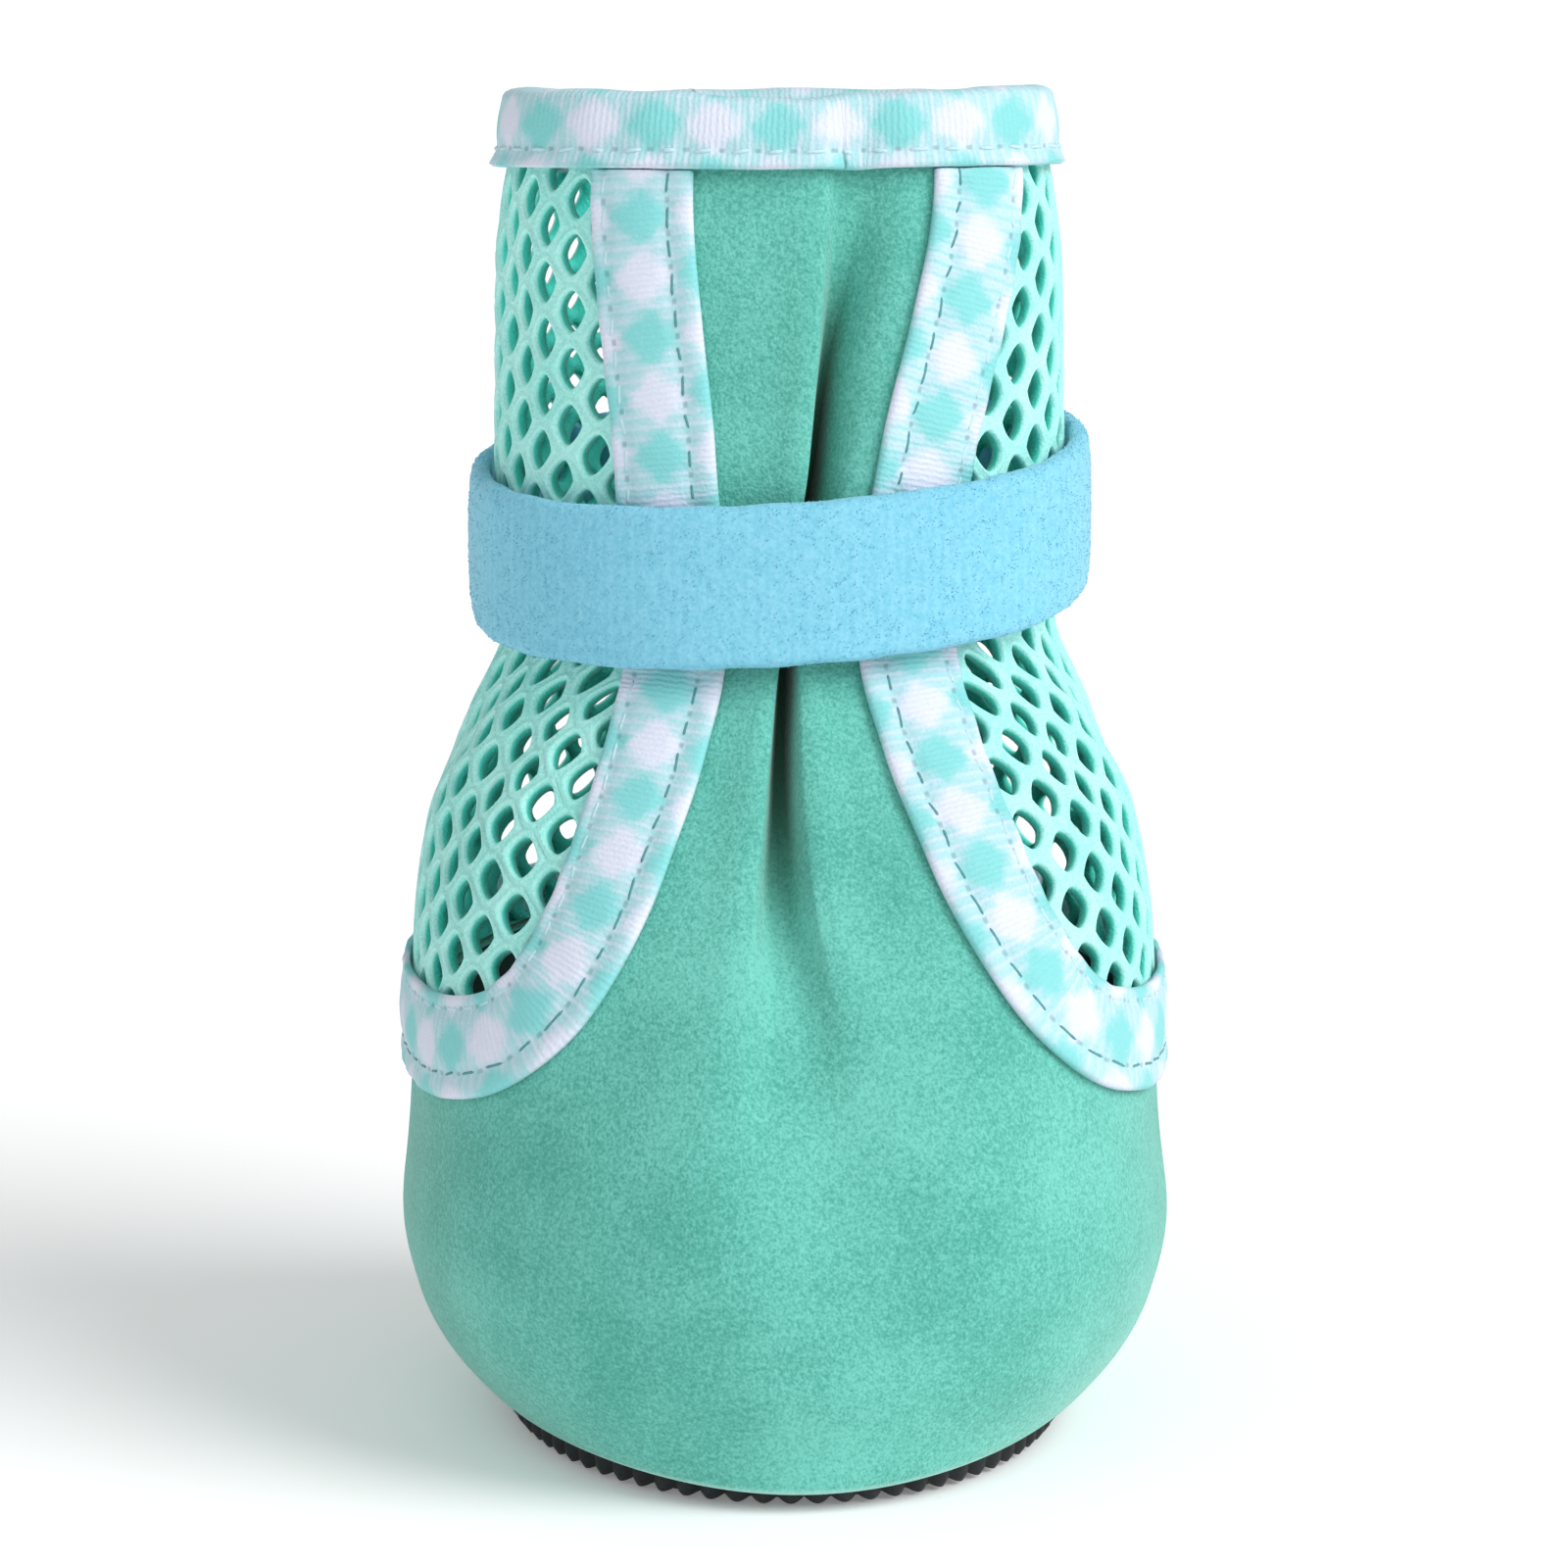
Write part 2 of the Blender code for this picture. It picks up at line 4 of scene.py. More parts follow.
import bmesh
import bpy
import numpy as np
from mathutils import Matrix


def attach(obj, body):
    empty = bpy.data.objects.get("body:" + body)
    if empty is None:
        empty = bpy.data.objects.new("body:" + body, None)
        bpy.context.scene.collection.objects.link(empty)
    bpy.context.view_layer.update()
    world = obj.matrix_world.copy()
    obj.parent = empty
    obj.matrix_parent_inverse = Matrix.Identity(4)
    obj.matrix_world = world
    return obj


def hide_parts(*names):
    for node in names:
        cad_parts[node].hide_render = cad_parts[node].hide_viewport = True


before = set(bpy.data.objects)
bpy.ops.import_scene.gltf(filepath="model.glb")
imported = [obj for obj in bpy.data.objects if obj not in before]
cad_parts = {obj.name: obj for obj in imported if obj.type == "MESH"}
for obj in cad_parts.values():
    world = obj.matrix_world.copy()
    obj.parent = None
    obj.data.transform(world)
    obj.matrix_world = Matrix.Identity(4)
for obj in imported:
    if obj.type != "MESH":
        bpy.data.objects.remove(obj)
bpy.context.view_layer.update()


# The view
#
# The boot stands alone on a plain white floor in soft studio light, lit most from the
# front right. The camera is half a metre in front of it and looks down a little.

FLOOR_HALF = 4.0
FLOOR_TONE = 0.96
FLOOR_GLOW = 0.16
CAMERA_DISTANCE = 0.500
CAMERA_HEIGHT = 0.150
CAMERA_AZIMUTH = math.radians(-3.0)
CAMERA_TARGET = (0.0, -0.002, 0.0495)
CAMERA_LENS = 150.0
WORLD_GLOW = 0.44


class Wire:
    """An output of a shader node. Arithmetic on wires adds Math nodes."""

    def __init__(self, finish, socket):
        self.finish, self.socket = finish, socket

    def math(self, operation, *values):
        return self.finish.node("ShaderNodeMath", {"operation": operation}, dict(enumerate(values)))

    def __add__(self, other):
        return self.math("ADD", self, other)

    def __radd__(self, other):
        return self.math("ADD", other, self)

    def __sub__(self, other):
        return self.math("SUBTRACT", self, other)

    def __rsub__(self, other):
        return self.math("SUBTRACT", other, self)

    def __mul__(self, other):
        return self.math("MULTIPLY", self, other)

    def __rmul__(self, other):
        return self.math("MULTIPLY", other, self)

    def __abs__(self):
        return self.math("ABSOLUTE", self)

    def wave(self, length):
        """A sine of this many metres a turn."""
        return self.math("SINE", self * (2 * math.pi / length))

    def ramp(self, low, high):
        """0 below low and 1 above high, or the other way round when low is the greater."""
        sockets = {"Value": self, "From Min": low, "From Max": high}
        return self.finish.node("ShaderNodeMapRange", {"interpolation_type": "SMOOTHSTEP"}, sockets)


class Finish:
    """A material: one Principled shader, with nodes that vary its colour, roughness and bump."""

    def __init__(self, name, roughness, **fixed):
        self.material = bpy.data.materials.new(name)
        self.material.use_nodes = True
        self.tree = self.material.node_tree
        self.shader = self.tree.nodes["Principled BSDF"]
        self.shader.inputs["Roughness"].default_value = roughness
        for socket, value in fixed.items():
            self.shader.inputs[socket.replace("_", " ")].default_value = value

    def node(self, kind, settings=None, sockets=None, output=0):
        made = self.tree.nodes.new(kind)
        for name, value in (settings or {}).items():
            setattr(made, name, value)
        for name, value in (sockets or {}).items():
            if isinstance(value, Wire):
                self.tree.links.new(value.socket, made.inputs[name])
            else:
                made.inputs[name].default_value = value
        return Wire(self, made.outputs[output])

    def place(self):
        """Where a point of the surface is, in metres."""
        return self.node("ShaderNodeTexCoord", output="Object")

    def strip(self):
        """The two measures that come with each point, such as how far along and across a strip
        of cloth it is, in metres."""
        split = self.node("ShaderNodeSeparateXYZ", {}, {0: self.node("ShaderNodeTexCoord", output="UV")})
        return split, Wire(self, split.socket.node.outputs[1])

    def noise(self, size, detail=2.0):
        """Cloudy variation from 0 to 1, with blotches of this size in metres."""
        sockets = {"Vector": self.place(), "Scale": 1 / size, "Detail": detail}
        return self.node("ShaderNodeTexNoise", {}, sockets)

    def mix(self, share, low, high):
        """Two colours mixed by a share from 0 to 1."""
        colours = {6: low if isinstance(low, Wire) else (*low, 1.0),
                   7: high if isinstance(high, Wire) else (*high, 1.0)}
        return self.node("ShaderNodeMix", {"data_type": "RGBA"}, {0: share, **colours}, output=2)

    def colour(self, wire):
        self.tree.links.new(wire.socket, self.shader.inputs["Base Color"])

    def roughen(self, wire):
        self.tree.links.new(wire.socket, self.shader.inputs["Roughness"])

    def bump(self, *layers):
        """Relief from (height from 0 to 1, depth in metres) layers, one on another."""
        normal = None
        for height, depth in layers:
            sockets = {"Height": height, "Distance": depth, "Strength": 1.0}
            if normal:
                sockets["Normal"] = normal
            normal = self.node("ShaderNodeBump", {}, sockets)
        self.tree.links.new(normal.socket, self.shader.inputs["Normal"])


def mesh_object(name, points, faces, finish, strips=None):
    """A smooth-shaded mesh object, with two measures for each point if strips gives them."""
    mesh = bpy.data.meshes.new(name)
    faces = faces.tolist() if isinstance(faces, np.ndarray) else faces
    mesh.from_pydata(np.asarray(points, float).reshape(-1, 3).tolist(), [], faces)
    mesh.shade_smooth()
    if strips is not None:
        corners = np.empty(len(mesh.loops), int)
        mesh.loops.foreach_get("vertex_index", corners)
        layer = mesh.uv_layers.new(name="strip")
        layer.data.foreach_set("uv", np.asarray(strips, float).reshape(-1, 2)[corners].ravel())
    mesh.materials.append(finish.material)
    made = bpy.data.objects.new(name, mesh)
    bpy.context.scene.collection.objects.link(made)
    return made


def quads(rows, columns, wrap_rows=False, wrap_columns=False):
    """The faces of a grid of points, which may close on itself either way."""
    r = np.arange(rows if wrap_rows else rows - 1)[:, None]
    c = np.arange(columns if wrap_columns else columns - 1)[None, :]
    up, on = (r + 1) % rows, (c + 1) % columns
    return np.stack(np.broadcast_arrays(r * columns + c, r * columns + on, up * columns + on,
                                        up * columns + c), -1).reshape(-1, 4)


paper = Finish("floor_paper", 0.9)
paper.colour(paper.mix(paper.noise(0.3), (FLOOR_TONE,) * 3, (FLOOR_TONE + 0.02,) * 3))
paper.shader.inputs["Emission Color"].default_value = (1.0, 1.0, 1.0, 1.0)
paper.shader.inputs["Emission Strength"].default_value = FLOOR_GLOW
floor = mesh_object("floor", [(x, y, 0) for y in (-FLOOR_HALF, FLOOR_HALF)
                              for x in (-FLOOR_HALF, FLOOR_HALF)], quads(2, 2), paper)

world = bpy.data.worlds.new("studio")
world.use_nodes = True
world.node_tree.nodes["Background"].inputs["Color"].default_value = (1.0, 1.0, 1.0, 1.0)
world.node_tree.nodes["Background"].inputs["Strength"].default_value = WORLD_GLOW
bpy.context.scene.world = world
bpy.context.scene.view_settings.view_transform = "Standard"


def soft_sun(name, strength, azimuth, elevation, spread):
    """A wide soft light from an azimuth to the right of the front. Angles are in degrees."""
    light = bpy.data.lights.new(name, "SUN")
    light.energy = strength
    light.angle = math.radians(spread)
    made = bpy.data.objects.new(name, light)
    made.rotation_euler = (math.radians(90 - elevation), 0, math.radians(azimuth))
    bpy.context.scene.collection.objects.link(made)


soft_sun("key_light", strength=2.37, azimuth=60, elevation=37, spread=40)
soft_sun("fill_light", strength=0.34, azimuth=-28, elevation=30, spread=70)

lens = bpy.data.cameras.new("camera")
lens.lens = CAMERA_LENS
lens.sensor_width = 36.0
lens.clip_end = 20.0
camera = bpy.data.objects.new("camera", lens)
camera.location = (CAMERA_DISTANCE * math.sin(CAMERA_AZIMUTH),
                   -CAMERA_DISTANCE * math.cos(CAMERA_AZIMUTH), CAMERA_HEIGHT)
bpy.context.scene.collection.objects.link(camera)
sight = [target - place for target, place in zip(CAMERA_TARGET, camera.location)]
camera.rotation_euler = (math.pi / 2 + math.atan2(sight[2], math.hypot(sight[0], sight[1])), 0,
                         math.atan2(-sight[0], sight[1]))
bpy.context.scene.camera = camera


# The suede foot and front panel
#
# Thin foam-backed cloth with a brushed, suede-like face. One piece goes round the foot and up
# the front to the collar. The strap draws it into a deep pleat, and its lower edge is turned
# in under the foot and glued to the sole.

BOOT_HEIGHT = 0.1044
NECK_HEIGHT = 0.0670
BALL_WIDTH = 0.0602
TOE_REACH = 0.0366
HEEL_REACH = 0.0302
SOLE_WIDTH = 0.0440
SOLE_TOE = 0.0312
SOLE_HEEL = 0.0256
NECK_WIDTH = 0.0425
NECK_FRONT = 0.0128
NECK_BACK = 0.0205
COLLAR_WIDTH = 0.0402
COLLAR_FRONT = 0.0072
COLLAR_BACK = 0.0206
COLLAR_DROP = 0.0030
COLLAR_DIP = 0.0010
COLLAR_DIP_WIDTH = 0.0110
SHAFT_TWIST = math.radians(6.5)
UPPER_WALL = 0.0016
SOLE_HEIGHT = 0.0024
CLEARANCE = 0.0003
UPPER_FOOT = SOLE_HEIGHT + CLEARANCE
SHAFT_HEIGHT = BOOT_HEIGHT - NECK_HEIGHT
FOOT_HEIGHT = NECK_HEIGHT - UPPER_FOOT

Section = namedtuple("Section", "height half_width front back widest boxy")


def foot_at(share):
    """A height, from the sole at 0 to the neck at 1."""
    return UPPER_FOOT + share * FOOT_HEIGHT


def shaft_at(share):
    """A height, from the neck at 0 to the collar's top at 1."""
    return NECK_HEIGHT + share * SHAFT_HEIGHT


def foot_level(share, width, toe, heel, widest, boxy):
    """A level of the foot, as shares of the foot's height and of the ball's three reaches."""
    return Section(foot_at(share), width * BALL_WIDTH / 2, toe * TOE_REACH,
                   heel * HEEL_REACH, widest * HEEL_REACH, boxy)


def shaft_level(share, width, front, back, widest, boxy):
    """A level of the shaft, as shares of the shaft's height, blended from neck to collar."""
    return Section(shaft_at(share),
                   width * (NECK_WIDTH + share * (COLLAR_WIDTH - NECK_WIDTH)) / 2,
                   front * (NECK_FRONT + share * (COLLAR_FRONT - NECK_FRONT)),
                   back * (NECK_BACK + share * (COLLAR_BACK - NECK_BACK)),
                   widest * NECK_BACK, boxy)


LAST = [
    Section(UPPER_FOOT, 0.84 * SOLE_WIDTH / 2, 0.85 * SOLE_TOE, 0.85 * SOLE_HEEL, 0.0, 0.005),
    Section(UPPER_FOOT, 1.01 * SOLE_WIDTH / 2, 1.01 * SOLE_TOE, 1.01 * SOLE_HEEL, 0.0, 0.005),
    foot_level(0.045, 0.866, 0.905, 0.925, -0.02, 0.010),
    foot_level(0.125, 0.960, 0.975, 0.980, -0.05, 0.015),
    foot_level(0.230, 1.000, 1.000, 1.000, -0.06, 0.020),
    foot_level(0.390, 0.968, 0.930, 0.992, -0.05, 0.025),
    foot_level(0.550, 0.960, 0.800, 0.955, -0.02, 0.025),
    foot_level(0.690, 0.918, 0.640, 0.885, 0.04, 0.025),
    foot_level(0.810, 0.816, 0.492, 0.795, 0.10, 0.022),
    foot_level(0.915, 0.718, 0.392, 0.710, 0.16, 0.020),
    shaft_level(0.00, 1.000, 1.000, 1.000, 0.24, 0.020),
    shaft_level(0.22, 1.062, 1.040, 1.010, 0.26, 0.020),
    shaft_level(0.60, 1.075, 1.080, 1.015, 0.30, 0.025),
    shaft_level(1.00, 1.000, 1.000, 1.000, 0.32, 0.030),
]
LAST_ROW = len(LAST) - 1
FOLD_ROW = 1
MARGIN_ROW = 0.8

# The pleat, drawn shut by the strap: how deep it is at each height, how far its bottom wanders
# from the middle, how far its two walls reach to either side of the bottom, and how the right
# one rises: evenly at 1, steeply at first when less. The bottom is flat over a share of the
# reach, and two rolled lips stand beside it where it is deep.
Pleat = namedtuple("Pleat", "height depth wander left right ease")
PLEAT = [
    Pleat(foot_at(0.30), 0.0000, -0.0008, 0.0060, 0.0070, 1.0),
    Pleat(foot_at(0.50), 0.0011, -0.0013, 0.0036, 0.0050, 1.0),
    Pleat(foot_at(0.64), 0.0030, -0.0014, 0.0022, 0.0027, 0.9),
    Pleat(foot_at(0.76), 0.0050, -0.0011, 0.0014, 0.0017, 0.9),
    Pleat(foot_at(0.87), 0.0062, -0.0006, 0.0009, 0.0011, 0.9),
    Pleat(foot_at(0.94), 0.0066, -0.0002, 0.0006, 0.0008, 0.9),
    Pleat(shaft_at(0.04), 0.0066, 0.0006, 0.0006, 0.0014, 0.7),
    Pleat(shaft_at(0.24), 0.0058, 0.0015, 0.0006, 0.0030, 0.45),
    Pleat(shaft_at(0.44), 0.0042, 0.0016, 0.0007, 0.0040, 0.5),
    Pleat(shaft_at(0.62), 0.0024, 0.0019, 0.0014, 0.0046, 0.7),
    Pleat(shaft_at(0.84), 0.0008, 0.0021, 0.0022, 0.0050, 0.9),
    Pleat(BOOT_HEIGHT, 0.0003, 0.0022, 0.0030, 0.0050, 1.0),
]
PLEAT_FLOOR = 0.22
PLEAT_FULL = 0.0050
PLEAT_LIP = 0.0007
PLEAT_LIP_PLACE = 1.25
PLEAT_LIP_OUT = 0.0006
PLEAT_LIP_WIDTH = 0.0018

# The soft toe rolls out and sags a little over the edge of the sole
TOE_DROOP = 0.0012
TOE_ROLL = 0.0009
TOE_DROOP_ANGLE = 0.62
TOE_ROLL_ANGLE = 1.15
TOE_DROOP_HEIGHT = 0.0050

# Soft troughs (and, with a negative depth, ridges) laid over the cloth, each from one angle and
# height to another. Angles are from the toe, to the boot's own -X side if negative.
Crease = namedtuple("Crease", "angle height to_angle to_height half_width depth")
CREASES = [
    Crease(-16, 0.0440, -44, 0.0215, 0.0050, 0.00035),
    Crease(14, 0.0420, 40, 0.0230, 0.0055, 0.00030),
    Crease(2, 0.0440, 9, 0.0150, 0.0056, 0.00105),
    Crease(-13, 0.0460, -12, 0.0190, 0.0050, -0.00065),
    Crease(20, 0.0460, 27, 0.0190, 0.0058, -0.00070),
    Crease(-24, 0.0300, -58, 0.0180, 0.0042, -0.00022),
    Crease(62, 0.0250, 96, 0.0190, 0.0048, 0.00030),
    Crease(-66, 0.0250, -104, 0.0180, 0.0045, 0.00030),
    Crease(120, 0.0120, 168, 0.0170, 0.0040, 0.00028),
    Crease(-116, 0.0130, -160, 0.0185, 0.0042, 0.00028),
    Crease(150, 0.0560, 206, 0.0535, 0.0042, 0.00050),
    Crease(128, 0.0480, 160, 0.0430, 0.0040, 0.00035),
    Crease(206, 0.0445, 238, 0.0500, 0.0038, 0.00032),
    Crease(-47, 0.0590, -76, 0.0440, 0.0027, 0.00065),
    Crease(-64, 0.0605, -100, 0.0490, 0.0027, 0.00060),
    Crease(-90, 0.0600, -126, 0.0500, 0.0028, 0.00050),
    Crease(48, 0.0590, 74, 0.0450, 0.0028, 0.00055),
    Crease(66, 0.0600, 102, 0.0480, 0.0028, 0.00055),
    Crease(-60, 0.0800, -84, 0.0940, 0.0032, 0.00045),
    Crease(96, 0.0820, 112, 0.0960, 0.0040, 0.00040),
    Crease(236, 0.0940, 262, 0.0800, 0.0042, 0.00045),
    Crease(176, 0.0800, 184, 0.0960, 0.0050, 0.00040),
]
CREASE_GIRTH = 0.0270
CREASE_FADE = 0.12


def ease(share):
    """A share from 0 to 1 that starts and ends gently."""
    return share * share * (3 - 2 * share)


def bell(away, width):
    """1 where away is 0, and next to nothing past about twice the width."""
    return np.exp(-(away / width) ** 2)


def smooth(values, at):
    """A monotone cubic through values, one for each whole number of at: it never overshoots."""
    values = np.asarray(values, float)
    steps = np.diff(values)
    before, after = steps[:-1], steps[1:]
    turning = before * after <= 0
    total = np.where(turning, 1.0, before + after)
    inner = np.where(turning, 0.0, 2 * before * after / total)
    slopes = np.concatenate([steps[:1], inner, steps[-1:]])
    at = np.clip(np.asarray(at, float), 0, len(values) - 1)
    row = np.minimum(at.astype(int), len(values) - 2)
    t = at - row
    return ((1 + 2 * t) * (1 - t) ** 2 * values[row] + t * (1 - t) ** 2 * slopes[row]
            + t * t * (3 - 2 * t) * values[row + 1] + t * t * (t - 1) * slopes[row + 1])


def column(rows, name):
    return [getattr(row, name) for row in rows]


def last_size(name, row):
    """One of the last's sizes, at a whole or fractional row."""
    return smooth(column(LAST, name), row)


LEVEL_ROWS = np.linspace(FOLD_ROW, LAST_ROW, 1500)
LEVEL_HEIGHTS = last_size("height", LEVEL_ROWS)


def row_at(height):
    """The last's fractional row at a height, above the fold of the margin."""
    return np.interp(height, LEVEL_HEIGHTS, LEVEL_ROWS)


def by_height(rows, name, height):
    """A column of a table that has a height column, smoothed, at any height."""
    at = np.linspace(0, len(rows) - 1, 800)
    return np.interp(height, smooth(column(rows, "height"), at), smooth(column(rows, name), at))


def outline(angle, half_width, front, back, widest, boxy):
    """A closed outline, wide at widest, that reaches front and back of the origin."""
    x = half_width * (np.sin(angle) + boxy * np.sin(3 * angle)) / (1 - boxy)
    along = (np.cos(angle) - boxy * np.cos(3 * angle)) / (1 - boxy)
    reach = np.where(np.cos(angle) > 0, front + widest, back - widest)
    return x, widest - reach * along


def pleat_depth(x, height, front):
    """How far the pleat and its rolled lips push the front of the cloth in."""
    x = np.where(front, x - by_height(PLEAT, "wander", height), 1.0)
    reach = np.where(x < 0, by_height(PLEAT, "left", height), by_height(PLEAT, "right", height))
    depth = by_height(PLEAT, "depth", height)
    power = np.where(x < 0, 1.0, by_height(PLEAT, "ease", height))
    floor_share = PLEAT_FLOOR * power
    wall = 1 - ease(np.clip((np.abs(x) / reach - floor_share) / (1 - floor_share), 0, 1) ** power)
    lip = bell(np.abs(x) - PLEAT_LIP_PLACE * reach - PLEAT_LIP_OUT, PLEAT_LIP_WIDTH)
    return depth * wall - PLEAT_LIP * np.clip(depth / PLEAT_FULL, 0, 1) * lip


def fold_depth(angle, row):
    """How deep in the pleat a point is."""
    angle, row = np.broadcast_arrays(angle, row)
    sizes = [last_size(name, row) for name in Section._fields[1:]]
    height = last_size("height", row)
    return pleat_depth(outline(angle, *sizes)[0], height, np.cos(angle) > 0)


def toe_sag(angle, row, height):
    """How far out and how far down the soft toe hangs over the sole's edge."""
    above_margin = np.clip((row - MARGIN_ROW) / (FOLD_ROW - MARGIN_ROW), 0, 1)
    low = above_margin * bell(height - UPPER_FOOT, TOE_DROOP_HEIGHT)
    return TOE_ROLL * low * bell(angle, TOE_ROLL_ANGLE), TOE_DROOP * low * bell(angle, TOE_DROOP_ANGLE)


def last_points(angle, row):
    """Points on the boot's outer surface, with its twisted shaft, dropped collar and pleat."""
    angle, row = np.broadcast_arrays(np.asarray(angle, float), np.asarray(row, float))
    height = last_size("height", row)
    sizes = [last_size(name, row) for name in Section._fields[1:]]
    climb = np.clip((height - NECK_HEIGHT) / SHAFT_HEIGHT, 0, 1)
    x, y = outline(angle + SHAFT_TWIST * ease(climb), *sizes)
    y = y + fold_depth(angle, row)
    drop = COLLAR_DROP * ease(climb) * (y + COLLAR_FRONT) / (COLLAR_FRONT + COLLAR_BACK)
    turned = (angle + math.pi) % (2 * math.pi) - math.pi
    roll, droop = toe_sag(turned, row, height)
    x, y = x + roll * np.sin(turned), y - roll * np.cos(turned)
    front = np.where(np.cos(angle) > 0, bell(x, COLLAR_DIP_WIDTH), 0.0)
    drop = drop + droop + COLLAR_DIP * climb ** 8 * front
    return np.stack([x, y, height - drop], -1)


def unit(vectors):
    return vectors / np.linalg.norm(vectors, axis=-1, keepdims=True)


def slopes_at(angle, row):
    """The two directions of the surface at a point: for a radian round it, and a row up it."""
    step = 1e-3
    low, high = np.maximum(row - step, 0), np.minimum(row + step, LAST_ROW)
    around = last_points(angle + step, row) - last_points(angle - step, row)
    up = last_points(angle, high) - last_points(angle, low)
    return around / (2 * step), up / (high - low)[..., None]


def pushed_in(angle, row):
    """How far the creases push the cloth in."""
    height = last_size("height", row)
    push = np.zeros_like(height)
    for crease in CREASES:
        start, end = math.radians(crease.angle), math.radians(crease.to_angle)
        middle = (start + end) / 2
        turned = (angle - middle + math.pi) % (2 * math.pi) - math.pi + middle
        run = np.array([(end - start) * CREASE_GIRTH, crease.to_height - crease.height])
        x, z = (turned - start) * CREASE_GIRTH, height - crease.height
        along = np.clip((x * run[0] + z * run[1]) / (run @ run), 0, 1)
        away = np.hypot(x - along * run[0], z - along * run[1])
        fade = np.sin(math.pi * (CREASE_FADE + (1 - 2 * CREASE_FADE) * along))
        push += crease.depth * fade * bell(away, crease.half_width)
    return push


def surface(angle, row, offset=0.0):
    """Points at a distance outside the creased cloth, along its normal."""
    angle, row = np.broadcast_arrays(np.asarray(angle, float), np.asarray(row, float))
    around, up = slopes_at(angle, row)
    normal = unit(np.cross(around, up))
    return last_points(angle, row) + normal * (offset - pushed_in(angle, row))[..., None]


# The seam between cloth and mesh, from the collar down beside the front panel, then round the
# foot to the back.
Seam = namedtuple("Seam", "angle height")
SEAM = [
    Seam(35.5, BOOT_HEIGHT),
    Seam(34.0, shaft_at(0.80)),
    Seam(29.0, shaft_at(0.51)),
    Seam(24.6, shaft_at(0.27)),
    Seam(22.7, shaft_at(0.08)),
    Seam(22.3, foot_at(0.925)),
    Seam(23.4, foot_at(0.815)),
    Seam(26.6, foot_at(0.700)),
    Seam(32.4, foot_at(0.602)),
    Seam(40.5, foot_at(0.528)),
    Seam(52.5, foot_at(0.478)),
    Seam(70.0, foot_at(0.458)),
    Seam(92.0, foot_at(0.456)),
    Seam(120.0, foot_at(0.466)),
    Seam(150.0, foot_at(0.490)),
    Seam(180.0, foot_at(0.500)),
]
SEAM_NECK_ROW = 5
SEAM_SAMPLES = 60
SEAM_AT = np.linspace(0, len(SEAM) - 1, (len(SEAM) - 1) * SEAM_SAMPLES + 1)
SEAM_ANGLES = np.radians(smooth(column(SEAM, "angle"), SEAM_AT))
SEAM_HEIGHTS = smooth(column(SEAM, "height"), SEAM_AT)
SEAM_TURN = SEAM_NECK_ROW * SEAM_SAMPLES
NECK_ANGLE = SEAM_ANGLES[SEAM_TURN]
NECK_SEAM_ROW = row_at(SEAM_HEIGHTS[SEAM_TURN])
TAPE_THICKNESS = 0.0008
WALL_TOP = BOOT_HEIGHT - TAPE_THICKNESS - CLEARANCE
SEAM_GAP = 0.0006


def panel_angle(row):
    """The seam's angle beside the front panel, at a row above the neck."""
    rows = row_at(SEAM_HEIGHTS[:SEAM_TURN + 1])[::-1]
    return np.interp(row, rows, SEAM_ANGLES[:SEAM_TURN + 1][::-1])


def crease_angle(row):
    """The angle of the pleat's bottom, at a row."""
    height = last_size("height", row)
    half_width, boxy = (last_size(name, row) for name in ("half_width", "boxy"))
    across = half_width * (1 + 3 * boxy) / (1 - boxy)
    return by_height(PLEAT, "wander", height) / across


def front_columns(row, edge, count=46, crowding=1.5):
    """Angles across the front panel, crowded towards the pleat's bottom."""
    shares = np.linspace(0, 1, count) ** crowding
    shares = np.concatenate([-shares[:0:-1], shares])
    crease = crease_angle(row)
    return crease + np.abs(shares) * (np.sign(shares) * edge - crease)


def distances(points):
    """How far along a line of points each one is, in metres."""
    return np.concatenate([[0], np.cumsum(np.linalg.norm(np.diff(points, axis=0), axis=1))])


def side_stations(count=84, crowding=1.25):
    """Angles and heights along the seam from the neck to the back, crowded towards the neck."""
    angles, heights = SEAM_ANGLES[SEAM_TURN:], SEAM_HEIGHTS[SEAM_TURN:]
    along = distances(last_points(angles, row_at(heights)))
    stops = along[-1] * np.linspace(0, 1, count) ** crowding
    return np.interp(stops, along, angles), np.interp(stops, along, heights)


